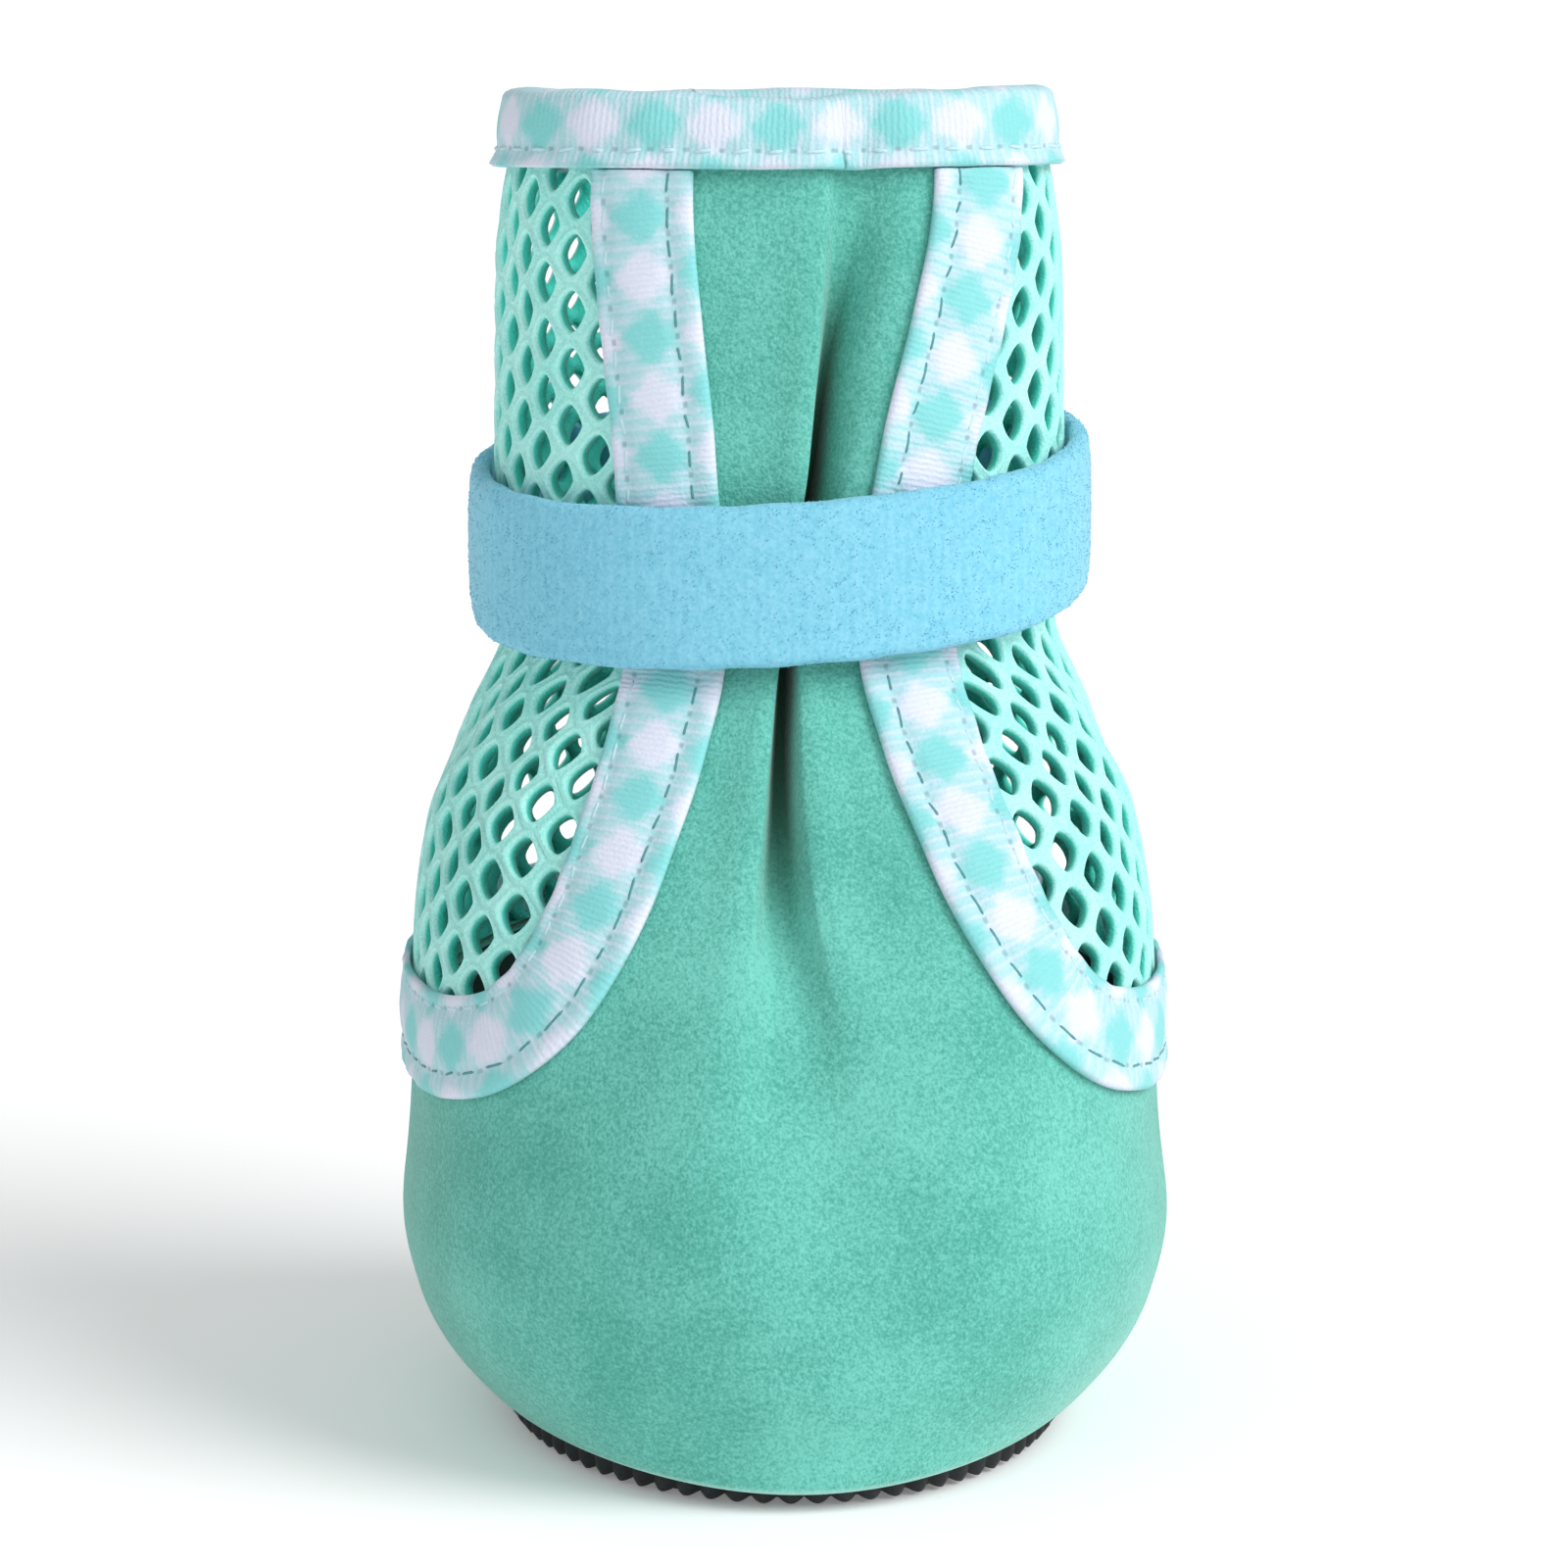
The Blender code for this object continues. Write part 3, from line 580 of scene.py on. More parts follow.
def suede_mesh(foot_rows=84, collar_rows=60):
    """The cloth's outer face: the foot up to the seam, and the front panel to the collar. Each
    point also has how deep in the pleat it is and how far above the turned-in margin."""
    gap = SEAM_GAP / NECK_WIDTH
    neck_edge = NECK_ANGLE - gap
    side, seam = side_stations()
    side = np.concatenate([side[1:-1] - gap, [math.pi]])
    seam = row_at(seam[1:] - SEAM_GAP / 2)
    climb = np.linspace(0, 1, foot_rows)[:, None]
    neck = climb * NECK_SEAM_ROW
    front = front_columns(neck, neck_edge)
    left, right = np.tile(-side[:-1][::-1], (foot_rows, 1)), np.tile(side, (foot_rows, 1))
    foot_angles = np.hstack([left, front, right])
    foot = np.hstack([climb * seam[:-1][::-1], np.tile(neck, front.shape[1]), climb * seam])
    panel = np.linspace(NECK_SEAM_ROW, row_at(WALL_TOP), collar_rows)[1:, None]
    panel_angles = front_columns(panel, panel_angle(panel) - gap)
    panel = np.broadcast_to(panel, panel_angles.shape)
    points = [surface(foot_angles, foot).reshape(-1, 3), surface(panel_angles, panel).reshape(-1, 3)]
    rows = np.concatenate([foot.ravel(), panel.ravel()])
    depths = fold_depth(np.concatenate([foot_angles.ravel(), panel_angles.ravel()]), rows)
    climbs = last_size("height", rows) - UPPER_FOOT
    foot_faces = quads(*foot.shape, wrap_columns=True)
    neck_line = foot.size - foot.shape[1] + len(side) - 1 + np.arange(front.shape[1])
    lines = np.vstack([neck_line, foot.size + np.arange(panel.size).reshape(panel.shape)])
    panel_faces = np.stack([lines[:-1, :-1], lines[:-1, 1:], lines[1:, 1:], lines[1:, :-1]], -1)
    faces = np.vstack([foot_faces, panel_faces.reshape(-1, 4)])
    return np.concatenate(points), faces, np.stack([depths, climbs], -1)


def hold(piece, slot, *nodes):
    """Fixes a piece to the boot and hides the solids it stands for, if any. Its slot, the name of a
    finish, is not used.
    """
    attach(piece, "root")
    if nodes:
        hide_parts(*nodes)


suede = Finish("suede", 0.88, Sheen_Weight=0.36, Sheen_Roughness=0.45,
               Sheen_Tint=(0.90, 1.0, 0.96, 1.0), Specular_IOR_Level=0.18)
nap = suede.noise(0.00024, 2.0)
tufts = suede.noise(0.00046, 2.0)
brushed = suede.noise(0.010, 3.0)
grain = nap * 0.44 + tufts * 0.26 + brushed * 0.30
face = suede.mix(grain.ramp(0.34, 0.66), (0.070, 0.372, 0.300), (0.184, 0.612, 0.522))
fold, climb = suede.strip()
# Painted highlight: the cloth is paler within 0.7 mm of the fold where its lower edge turns in.
face = suede.mix(climb.ramp(0.0007, 0.0001) * 0.7, face, (0.420, 0.760, 0.680))
# Painted shade: the deeper in the pleat, the darker the cloth, down to near black-green.
suede.colour(suede.mix(fold.ramp(0.0016, 0.0056), face, (0.045, 0.135, 0.090)))
suede.bump((tufts, 0.00009), (nap, 0.00009))
# Painted shade: the cloth's inner face is near-black green, for the dark inside of the boot.
lining = Finish("upper_lining", 0.9, Specular_IOR_Level=0.2)
lining.colour(lining.mix(lining.noise(0.0004), (0.020, 0.050, 0.043), (0.040, 0.085, 0.075)))
upper_points, upper_faces, upper_places = suede_mesh()
upper = mesh_object("suede_upper", upper_points, upper_faces, suede, upper_places)
upper.data.materials.append(lining.material)
wall = upper.modifiers.new("wall", "SOLIDIFY")
wall.thickness = UPPER_WALL
wall.offset = -1.0
wall.use_quality_normals = True
wall.material_offset = 1
hold(upper, "suede", "upper")


# The mesh sides and back
#
# A thick warp-knit mesh with large rounded diamond holes in staggered columns. It is cut to
# the seam, and its cut edges lie under the tape and the collar binding.

# The knit is laid out in columns from the back, each of the same number of tiers. Cells whose
# middles lie too far past the cut edge are left out, and the rest are cut to it.
MESH_WALL = 0.0013
HOLE_PITCH = 0.0041
STRAND = 0.0011
CELL_HALF_WIDTH = 0.62
HOLE_HALF_HEIGHT = 0.00146
HOLE_ROUNDNESS = 1.6
EDGE_STEPS = 4
MESH_COLUMNS = 30
MESH_TIERS = 24
MESH_BELOW_SEAM = 0.0040
FIRST_TIER = -0.0010
FURTHEST_MOVED = 0.0016

# A strand's section: how far out from the hole's edge to the cell's edge, and how high, in
# halves of the wall, from the middle of the wall
STRAND_PROFILE = [(1.00, 0.66), (0.58, 1.00), (0.18, 0.82), (0.0, 0.25), (0.03, -0.75), (1.00, -0.98)]

# How far apart the columns of holes are: the strap gathers the knit, and the foot spreads it
Spread = namedtuple("Spread", "height spacing")
SPREAD = [
    Spread(0.0300, 0.0036),
    Spread(0.0420, 0.00335),
    Spread(0.0480, 0.0031),
    Spread(0.0540, 0.0028),
    Spread(0.0600, 0.0026),
    Spread(NECK_HEIGHT, 0.00262),
    Spread(0.0780, 0.00275),
    Spread(0.0880, 0.0027),
    Spread(BOOT_HEIGHT, 0.0025),
]

# The levels of the mesh, how far up its side each is, and how far round from the back a fan of
# angles is at each
MESH_ROWS = row_at(np.linspace(SEAM_HEIGHTS.min() - MESH_BELOW_SEAM, BOOT_HEIGHT, 140))
MESH_CLIMB = distances(last_points(np.full_like(MESH_ROWS, math.pi / 2), MESH_ROWS))
FAN_ANGLES = np.linspace(math.pi, 0, 400)
FAN_GIRTHS = np.stack([distances(last_points(FAN_ANGLES, row)) for row in MESH_ROWS])
MESH_SPACING = by_height(SPREAD, "spacing", last_size("height", MESH_ROWS))


def on_mesh(column_at, climb):
    """The angle and row of a point given in columns from the back and in metres up the mesh."""
    shape = np.shape(climb)
    column_at, climb = np.ravel(column_at), np.ravel(climb)
    level = np.interp(climb, MESH_CLIMB, np.arange(len(MESH_CLIMB)))
    low = np.clip(level.astype(int), 0, len(MESH_CLIMB) - 2)
    share = (level - low)[:, None]
    girths = FAN_GIRTHS[low] * (1 - share) + FAN_GIRTHS[low + 1] * share
    reach = np.abs(column_at) * np.interp(climb, MESH_CLIMB, MESH_SPACING)
    place = np.clip((girths < reach[:, None]).sum(1), 1, len(FAN_ANGLES) - 1)
    before, after = girths[np.arange(len(reach)), place - 1], girths[np.arange(len(reach)), place]
    within = np.clip((reach - before) / np.maximum(after - before, 1e-9), 0, 1)
    from_toe = FAN_ANGLES[place - 1] + within * (FAN_ANGLES[place] - FAN_ANGLES[place - 1])
    angle = math.pi + np.sign(column_at) * (math.pi - from_toe)
    return angle.reshape(shape), np.interp(climb, MESH_CLIMB, MESH_ROWS).reshape(shape)


def within_seam(angle, row):
    """Moves points of the mesh that lie past its cut edge onto that edge."""
    gap = SEAM_GAP / NECK_WIDTH
    from_toe = np.minimum(angle, 2 * math.pi - angle)
    edge = np.where(row > NECK_SEAM_ROW, panel_angle(row), NECK_ANGLE) + gap
    from_toe = np.maximum(from_toe, edge)
    heights = np.interp(from_toe - gap, SEAM_ANGLES[SEAM_TURN:], SEAM_HEIGHTS[SEAM_TURN:])
    row = np.maximum(row, np.minimum(row_at(heights + SEAM_GAP / 2), NECK_SEAM_ROW))
    angle = np.where(angle > math.pi, 2 * math.pi - from_toe, from_toe)
    return angle, np.minimum(row, row_at(WALL_TOP))


def cell_edge():
    """A cell's six-sided edge, evenly stepped: columns across and metres up from its centre."""
    half = HOLE_PITCH / 2
    flat = (half / SPREAD[-1].spacing) ** 2
    wide, narrow = (1 + flat) / 2, (1 - flat) / 2
    corners = [(wide, 0), (narrow, half), (-narrow, half)]
    corners += [(-x, -y) for x, y in corners]
    steps = np.arange(EDGE_STEPS)[:, None] / EDGE_STEPS
    return np.vstack([np.array(a) * (1 - steps) + np.array(b) * steps
                      for a, b in zip(corners, corners[1:] + corners[:1])])


def copies(cell, count, size):
    """The faces of many bodies alike, from the faces of one that has this many points."""
    return (np.arange(count)[:, None, None] * size + cell).reshape(-1, 4)


def mesh_cells():
    """Every cell of the knit: strands round a rounded diamond hole, with a groove between yarns.
    Each point also has how high on the wall it is."""
    column_at = np.repeat(np.arange(-MESH_COLUMNS, MESH_COLUMNS + 1), MESH_TIERS)
    tier = np.tile(np.arange(MESH_TIERS), 2 * MESH_COLUMNS + 1)
    climb = (tier + 0.5 * (column_at % 2)) * HOLE_PITCH + FIRST_TIER
    centre = on_mesh(column_at.astype(float), climb)
    moved = np.linalg.norm(last_points(*centre) - last_points(*within_seam(*centre)), axis=1)
    kept = (moved < FURTHEST_MOVED) & (climb < MESH_CLIMB[-1])
    column_at, climb = column_at[kept, None], climb[kept, None]
    across, up = cell_edge().T
    half_width = CELL_HALF_WIDTH - 0.5 * STRAND / np.interp(climb, MESH_CLIMB, MESH_SPACING)
    hole = ((np.abs(across / half_width) ** HOLE_ROUNDNESS
             + np.abs(up / HOLE_HALF_HEIGHT) ** HOLE_ROUNDNESS) ** (-1 / HOLE_ROUNDNESS))
    rings = []
    for out, lift in STRAND_PROFILE:
        reach = hole + out * (1 - hole)
        angle, row = within_seam(*on_mesh(column_at + reach * across, climb + reach * up))
        rings.append(surface(angle, row, (lift - 1.0) * MESH_WALL / 2))
    points = np.stack(rings, 1)
    count, levels, sides = points.shape[:3]
    lifts = np.repeat([lift for _, lift in STRAND_PROFILE], sides)
    places = np.stack([np.tile(lifts, count), np.zeros(count * levels * sides)], -1)
    return points, copies(quads(levels, sides, wrap_columns=True), count, levels * sides), places


def weld(piece, distance=2e-5):
    """Joins the points of a mesh that lie together."""
    shape = bmesh.new()
    shape.from_mesh(piece.data)
    bmesh.ops.remove_doubles(shape, verts=shape.verts, dist=distance)
    shape.to_mesh(piece.data)
    shape.free()


knit = Finish("mesh_knit", 0.62, Sheen_Weight=0.35, Sheen_Roughness=0.4,
              Sheen_Tint=(0.80, 1.0, 0.97, 1.0), Specular_IOR_Level=0.3)
yarn = knit.noise(0.00022, 2.0)
dye = knit.noise(0.006, 2.0)
mottle_and_highlight = (yarn * 0.6 + dye * 0.4).ramp(0.36, 0.64)
mottle_and_highlight = knit.mix(mottle_and_highlight, (0.330, 0.900, 0.820), (0.530, 1.000, 0.940))
# Painted shade and highlight: hole walls and the knit's back are darker teal, strand crowns paler and
# mottled.
knit.colour(knit.mix(knit.strip()[0].ramp(0.15, 0.62), (0.070, 0.720, 0.600), mottle_and_highlight))
knit.bump((yarn, 0.00009))
mesh_points, mesh_faces, mesh_places = mesh_cells()
mesh_panel = mesh_object("mesh_panel_knit", mesh_points, mesh_faces, knit, mesh_places)
weld(mesh_panel)
hold(mesh_panel, "mesh", "mesh_panel")


# The tape over the side seam
#
# A ribbed gingham tape, cut on the slant so that it takes the curve, laid over the seam and
# sewn down near its edges, with teal thread on one and pale thread on the other. Both ends meet
# the collar binding.

TAPE_WIDTH = 0.0078
TAPE_FACE = 0.72
TAPE_EDGE = 0.0006
TAPE_EDGE_DROP = 0.00022
TAPE_RUFFLE = 0.00007
TAPE_SWELL = 0.00010
TAPE_SWELL_PLACE = 0.0005
TAPE_SWELL_WIDTH = 0.0016
TAPE_STITCHES = (-0.0020, 0.0029)
STITCH_PITCH = 0.0026
SEWN_DEPTH = 0.00030
SEWN_WIDTH = 0.00055
BINDING_HEIGHT = 0.0064
BINDING_FOOT = BOOT_HEIGHT - BINDING_HEIGHT
CHECK = 0.0032
RIB = 0.00045
AQUA = (0.235, 0.680, 0.680)
PALE = (0.760, 0.780, 0.920)


def gingham(name, stitches):
    """Slanted checks on ribbed tape, with painted shade in the grooves between the ribs and at the
    needle holes along its rows of stitches.
    """
    cloth = Finish(name, 0.7, Sheen_Weight=0.15, Sheen_Roughness=0.4, Specular_IOR_Level=0.3)
    along, across = cloth.strip()
    wobble = (cloth.noise(0.0015, 2.0) - 0.5) * 0.0014
    one = ((along + across) * math.sqrt(0.5) + wobble).wave(2 * CHECK).ramp(-0.66, 0.66)
    other = ((along - across) * math.sqrt(0.5) - wobble).wave(2 * CHECK).ramp(-0.66, 0.66)
    tone = (one + other) * 0.5
    uneven = along + (cloth.noise(0.0007, 1.0) - 0.5) * 0.0003
    rib = uneven.wave(RIB) * 0.5 + 0.5
    thread = uneven.wave(2 * RIB) * 0.5 + 0.5
    half = 1 - abs(tone * 2 - 1)
    fleck = cloth.noise(0.00026, 2.0)
    tone = tone + (thread - 0.5) * half * 0.20 + (fleck - 0.5) * 0.44
    woven = cloth.mix(tone.ramp(-0.12, 1.06), PALE, AQUA)
    # Painted shade in the grooves between the ribs.
    woven = cloth.mix((1 - rib) * 0.08, woven, (0.25, 0.50, 0.60))
    # Painted shade: dark spots at the needle holes along each row of stitches.
    punched = along.wave(STITCH_PITCH).ramp(0.70, 1.0)
    holes = sum(abs(across - line).ramp(0.00026, 0.00008) * punched for line in stitches)
    cloth.colour(cloth.mix(holes * 0.40, woven, (0.03, 0.16, 0.18)))
    cloth.bump((rib, 0.00003), (fleck, 0.00006))
    return cloth


def march(angle, row, direction, distance, steps):
    """Walks over the surface from a point, straight on in a direction, and lists each stop."""
    stops = [(angle, row)]
    for _ in range(steps):
        around, up = slopes_at(angle, row)
        normal = unit(np.cross(around, up))
        direction = unit(direction - normal * (direction * normal).sum(-1, keepdims=True))
        move = direction * distance / steps
        aa, uu, au = (around * around).sum(-1), (up * up).sum(-1), (around * up).sum(-1)
        ma, mu = (move * around).sum(-1), (move * up).sum(-1)
        angle = angle + (ma * uu - mu * au) / (aa * uu - au * au)
        row = np.minimum(row + (mu * aa - ma * au) / (aa * uu - au * au), LAST_ROW)
        stops.append((angle, row))
    return stops


def tape_centre(steps, spare=0.0012):
    """The whole seam from one end to the other, as angles, rows and metres along it."""
    below = SEAM_HEIGHTS < BINDING_FOOT + spare
    angles, rows = SEAM_ANGLES[below], row_at(SEAM_HEIGHTS[below])
    angles = np.concatenate([angles, 2 * math.pi - angles[-2::-1]])
    rows = np.concatenate([rows, rows[-2::-1]])
    along = distances(last_points(angles, rows))
    even = np.linspace(0, along[-1], steps)
    return np.interp(even, along, angles), np.interp(even, along, rows), even


def ripple(along, pitch, seed):
    """Uneven puckers of about a pitch, from -1 to 1."""
    drift = (0.8 * np.sin(along * 2 * math.pi / 0.0310 + seed)
             + 0.6 * np.sin(along * 2 * math.pi / 0.0173 + 2 * seed))
    return np.sin(along * 2 * math.pi / pitch + drift)


def tape_relief(places, along):
    """How far the tape's face stands off the cloth: sewn channels, a swell and rolled edges."""
    relief = np.full((len(places), len(along)), CLEARANCE + TAPE_FACE * TAPE_THICKNESS)
    for seed, line in enumerate(TAPE_STITCHES):
        tight = 0.72 + 0.28 * ripple(along, STITCH_PITCH, seed)
        relief -= SEWN_DEPTH * bell(places - line, SEWN_WIDTH)[:, None] * tight
    swell = TAPE_SWELL * (1 + 0.8 * ripple(along, 2 * STITCH_PITCH, 3))
    relief += bell(places - TAPE_SWELL_PLACE, TAPE_SWELL_WIDTH)[:, None] * swell
    from_middle = np.abs(places / TAPE_WIDTH * 2)[:, None]
    relief += TAPE_RUFFLE * ripple(along, 1.7 * STITCH_PITCH, 5) * from_middle ** 3
    rolled = np.clip((np.abs(places) - TAPE_WIDTH / 2 + TAPE_EDGE) / TAPE_EDGE, 0, 1)
    return relief - TAPE_EDGE_DROP * rolled[:, None] ** 2


def tape_strip(steps=620, across_steps=11):
    """The tape as a closed strip: the lines of its face, then those of its back. Each point also
    has how far along and across the tape it is."""
    angles, rows, along = tape_centre(steps)
    forward = unit(np.gradient(last_points(angles, rows), axis=0))
    sideways = unit(np.cross(unit(np.cross(*slopes_at(angles, rows))), forward))
    inner = march(angles, rows, -sideways, TAPE_WIDTH / 2, across_steps)
    outer = march(angles, rows, sideways, TAPE_WIDTH / 2, across_steps)
    lines = inner[:0:-1] + outer
    places = np.linspace(-TAPE_WIDTH / 2, TAPE_WIDTH / 2, len(lines))
    angle = np.stack([line[0] for line in lines])
    row = np.minimum(np.stack([line[1] for line in lines]), row_at(BINDING_FOOT - 0.0001))
    edges = [-1, -1, 0, 0]
    rises = np.array([0.45, 0.12, 0.12, 0.45])[:, None] * TAPE_THICKNESS + CLEARANCE / 2
    back = surface(angle[edges], row[edges], np.tile(rises, steps))
    face = surface(angle, row, tape_relief(places, along))
    across = np.concatenate([places, places[edges]])[:, None]
    return np.concatenate([face, back]), np.stack(np.broadcast_arrays(along, across), -1)


def closed_strip(name, points, finish, strips=None):
    """A body of sections alike, as points round it and along it, with a fan over each end."""
    def with_centres(values):
        ends = [values[:, 0].mean(0), values[:, -1].mean(0)]
        return np.vstack([values.reshape(-1, values.shape[-1]), ends])

    rings, count = points.shape[:2]
    ring, centre = np.arange(rings), rings * count
    on = (ring + 1) % rings
    first = np.stack([np.full(rings, centre), ring * count, on * count], -1)
    last = np.stack([np.full(rings, centre + 1), (on + 1) * count - 1, (ring + 1) * count - 1], -1)
    faces = quads(rings, count, wrap_rows=True).tolist() + first.tolist() + last.tolist()
    strips = None if strips is None else with_centres(strips)
    return mesh_object(name, with_centres(points), faces, finish, strips)


tape_cloth = gingham("gingham_tape", TAPE_STITCHES)
tape_points, tape_strips = tape_strip()
side_tape = closed_strip("side_tape_cloth", tape_points, tape_cloth, tape_strips)
hold(side_tape, "gingham", "side_tape")

THREAD_RADIUS = 0.00016
THREAD_SINK = 0.00006
THREAD_STRAY = 0.00012
STITCH_STRAY = 0.05
STITCH_HALF = (0.18, 0.34)


def stitch_row(name, path, finish, seed, sides=6):
    """A row of thread stitches along a path: one small bead of thread each."""
    points, normals, along = path
    count = int(along[-1] / STITCH_PITCH)
    share = np.linspace(-1, 1, 7)
    turn = np.arange(sides) * 2 * math.pi / sides
    chance = np.random.default_rng(seed)
    middles = np.arange(count) + 0.75 + chance.uniform(-STITCH_STRAY, STITCH_STRAY, count)
    at = (middles[:, None] + share * chance.uniform(*STITCH_HALF, (count, 1))) * STITCH_PITCH
    middle = np.stack([np.interp(at, along, points[:, i]) for i in range(3)], -1)
    normal = unit(np.stack([np.interp(at, along, normals[:, i]) for i in range(3)], -1))
    forward = unit(np.gradient(middle, axis=1))
    sideways = np.cross(forward, normal)
    askew = chance.uniform(-THREAD_STRAY, THREAD_STRAY, (count, 1)) * share
    rise = np.sqrt(np.cos(share * math.pi / 2)) * THREAD_RADIUS * 0.9 - THREAD_SINK
    middle = middle + sideways * askew[..., None] + normal * rise[:, None]
    swell = np.sqrt(np.clip(1 - share ** 4, 0.02, 1))[:, None, None] * THREAD_RADIUS
    ring = middle[:, :, None] + swell * (sideways[:, :, None] * np.cos(turn)[:, None]
                                         + normal[:, :, None] * 0.8 * np.sin(turn)[:, None])
    cap = np.array([[0, 1, 2, 3], [0, 3, 4, 5]])
    ends = np.vstack([cap, cap[:, ::-1] + (len(share) - 1) * sides])
    body = np.vstack([quads(len(share), sides, wrap_columns=True)[:, ::-1], ends])
    return mesh_object(name, ring, copies(body, count, len(share) * sides), finish)


def line_at(points, places, place):
    """The line that runs along a strip at one place across it."""
    after = np.searchsorted(places, place)
    share = (place - places[after - 1]) / (places[after] - places[after - 1])
    return points[after - 1] * (1 - share) + points[after] * share


def strip_path(points, places, place, along, aside=0.0004):
    """The line at one place across a strip, with its normals and the metres along it."""
    line, beside = line_at(points, places, place), line_at(points, places, place + aside)
    return line, unit(np.cross(beside - line, unit(np.gradient(line, axis=0)))), along


def thread_finish(name, dark, light):
    """Twisted sewing thread, which varies a little from one ply to the next."""
    thread = Finish(name, 0.6, Specular_IOR_Level=0.35)
    ply = thread.noise(0.0002, 1.0)
    thread.colour(thread.mix(ply, dark, light))
    thread.bump((ply, 0.00004))
    return thread


# The teal thread's dark tone is partly its own colour and partly painted shade.
teal_thread = thread_finish("teal_thread", (0.050, 0.220, 0.235), (0.130, 0.390, 0.410))
pale_thread = thread_finish("pale_thread", (0.42, 0.68, 0.72), (0.64, 0.80, 0.88))

tape_along, tape_places = tape_strips[0, :, 0], tape_strips[:-4, 0, 1]
for seed, (line, thread) in enumerate(zip(TAPE_STITCHES, (teal_thread, pale_thread))):
    sewing_line = strip_path(tape_points, tape_places, line, tape_along)
    hold(stitch_row(f"tape_stitches_{seed + 1}", sewing_line, thread, seed), "gingham")


# The collar binding
#
# A strip of the same gingham, folded over the raw edge of the collar and sewn through near its
# lower edge, so that it puckers a little and its lower edge lifts.

BINDING_STITCH = 0.0015
BINDING_LAP = 0.0070
BINDING_ROUND = 0.0009
BINDING_TOP = BINDING_HEIGHT - BINDING_ROUND
BINDING_MIDDLE = 0.55 * BINDING_HEIGHT
BINDING_LIFT = 0.00018
BINDING_RUFFLE = 0.00010
BINDING_SWELL = 0.00010
BINDING_SWELL_PLACE = 0.0038
BINDING_SWELL_WIDTH = 0.0016
BINDING_SEWN_DEPTH = 0.00028
BINDING_SEWN_WIDTH = 0.0006
BINDING_WAVE = 0.00010


def binding_profile():
    """The binding's folded section, as distances out from the cloth's face and heights: up the
    outside, over the fold, down the inside and back up along the cloth."""
    thick, outer, inner = TAPE_THICKNESS, CLEARANCE, -(UPPER_WALL + CLEARANCE)
    middle, reach = (outer + inner) / 2, (outer - inner) / 2 + thick
    profile = [(outer + 0.10 * thick, 0.0001), (outer + 0.55 * thick, 0.0)]
    profile += [(outer + 1.05 * thick, 0.00018)]
    profile += [(outer + thick, height) for height in np.linspace(0.0006, BINDING_TOP, 13)]
    profile += [(middle + reach * math.cos(t), BINDING_TOP + BINDING_ROUND * math.sin(t))
                for t in np.linspace(0, math.pi, 9)[1:-1]]
    profile += [(inner - thick, height) for height in np.linspace(BINDING_TOP, 0.0002, 8)]
    profile += [(inner - 0.5 * thick, 0.0), (inner, 0.0002)]
    profile += [(inner, BINDING_TOP - 0.0004), (outer, BINDING_TOP - 0.0004)]
    return np.array(profile).T[:, :, None]


def binding_strip(steps=420):
    """The binding's section carried round the collar and, at the back, over its own end. Each
    point also has how far round the collar and how far above the tape's middle it is."""
    offsets, heights = binding_profile()
    lap = BINDING_LAP / COLLAR_BACK
    angles = np.linspace(math.pi - lap / 2, 3 * math.pi + lap / 2, steps)
    along = distances(last_points(angles, row_at(WALL_TOP)))
    outside = np.where(offsets > 0.9 * CLEARANCE, 1.0, -0.6)
    face = np.clip(outside, 0, 1)
    climb = np.clip((angles - angles[-1] + 1.3 * lap) / (0.3 * lap), 0, 1)
    below = np.clip(1 - heights / BINDING_STITCH, 0, 1)
    lift = below * (BINDING_LIFT + BINDING_RUFFLE * ripple(along, 0.0071, 2))
    middle = bell(heights - BINDING_SWELL_PLACE, BINDING_SWELL_WIDTH)
    swell = BINDING_SWELL * middle * (1 + 0.8 * ripple(along, 0.0058, 4))
    tight = 0.75 + 0.25 * np.sin(2 * math.pi * along / STITCH_PITCH)
    sewn = BINDING_SEWN_DEPTH * bell(heights - BINDING_STITCH, BINDING_SEWN_WIDTH) * tight
    over_end = outside * 0.8 * TAPE_THICKNESS * ease(climb)
    offsets = offsets + over_end + face * (lift + swell - sewn)
    points = surface(angles, row_at(BINDING_FOOT + heights), offsets)
    wave = BINDING_WAVE * (ripple(along, 0.0150, 1) + 0.6 * ripple(along, 0.0067, 7))
    points[..., 2] += wave * heights / BINDING_HEIGHT + BINDING_WAVE * climb
    return points, np.stack(np.broadcast_arrays(along, heights - BINDING_MIDDLE), -1)


collar_cloth = gingham("gingham_binding", (BINDING_STITCH - BINDING_MIDDLE,))
collar_points, collar_strips = binding_strip()
collar = closed_strip("collar_binding_cloth", collar_points, collar_cloth, collar_strips)
hold(collar, "gingham", "collar_binding")
sewn_at = int(np.argmin(np.abs(collar_strips[:14, 0, 1] - (BINDING_STITCH - BINDING_MIDDLE))))
sewing_line, above = collar_points[sewn_at], collar_points[sewn_at + 1]
outward = unit(np.cross(unit(np.gradient(sewing_line, axis=0)), above - sewing_line))
collar_path = (sewing_line, outward, collar_strips[0, :, 0])
hold(stitch_row("collar_stitches", collar_path, pale_thread, 5), "gingham")


# The ankle strap
#
# A band of soft brushed loop tape, drawn round the ankle and closed on its own end at the
# back. Its face is a pile of fine loops, and a few stand out past its edges.

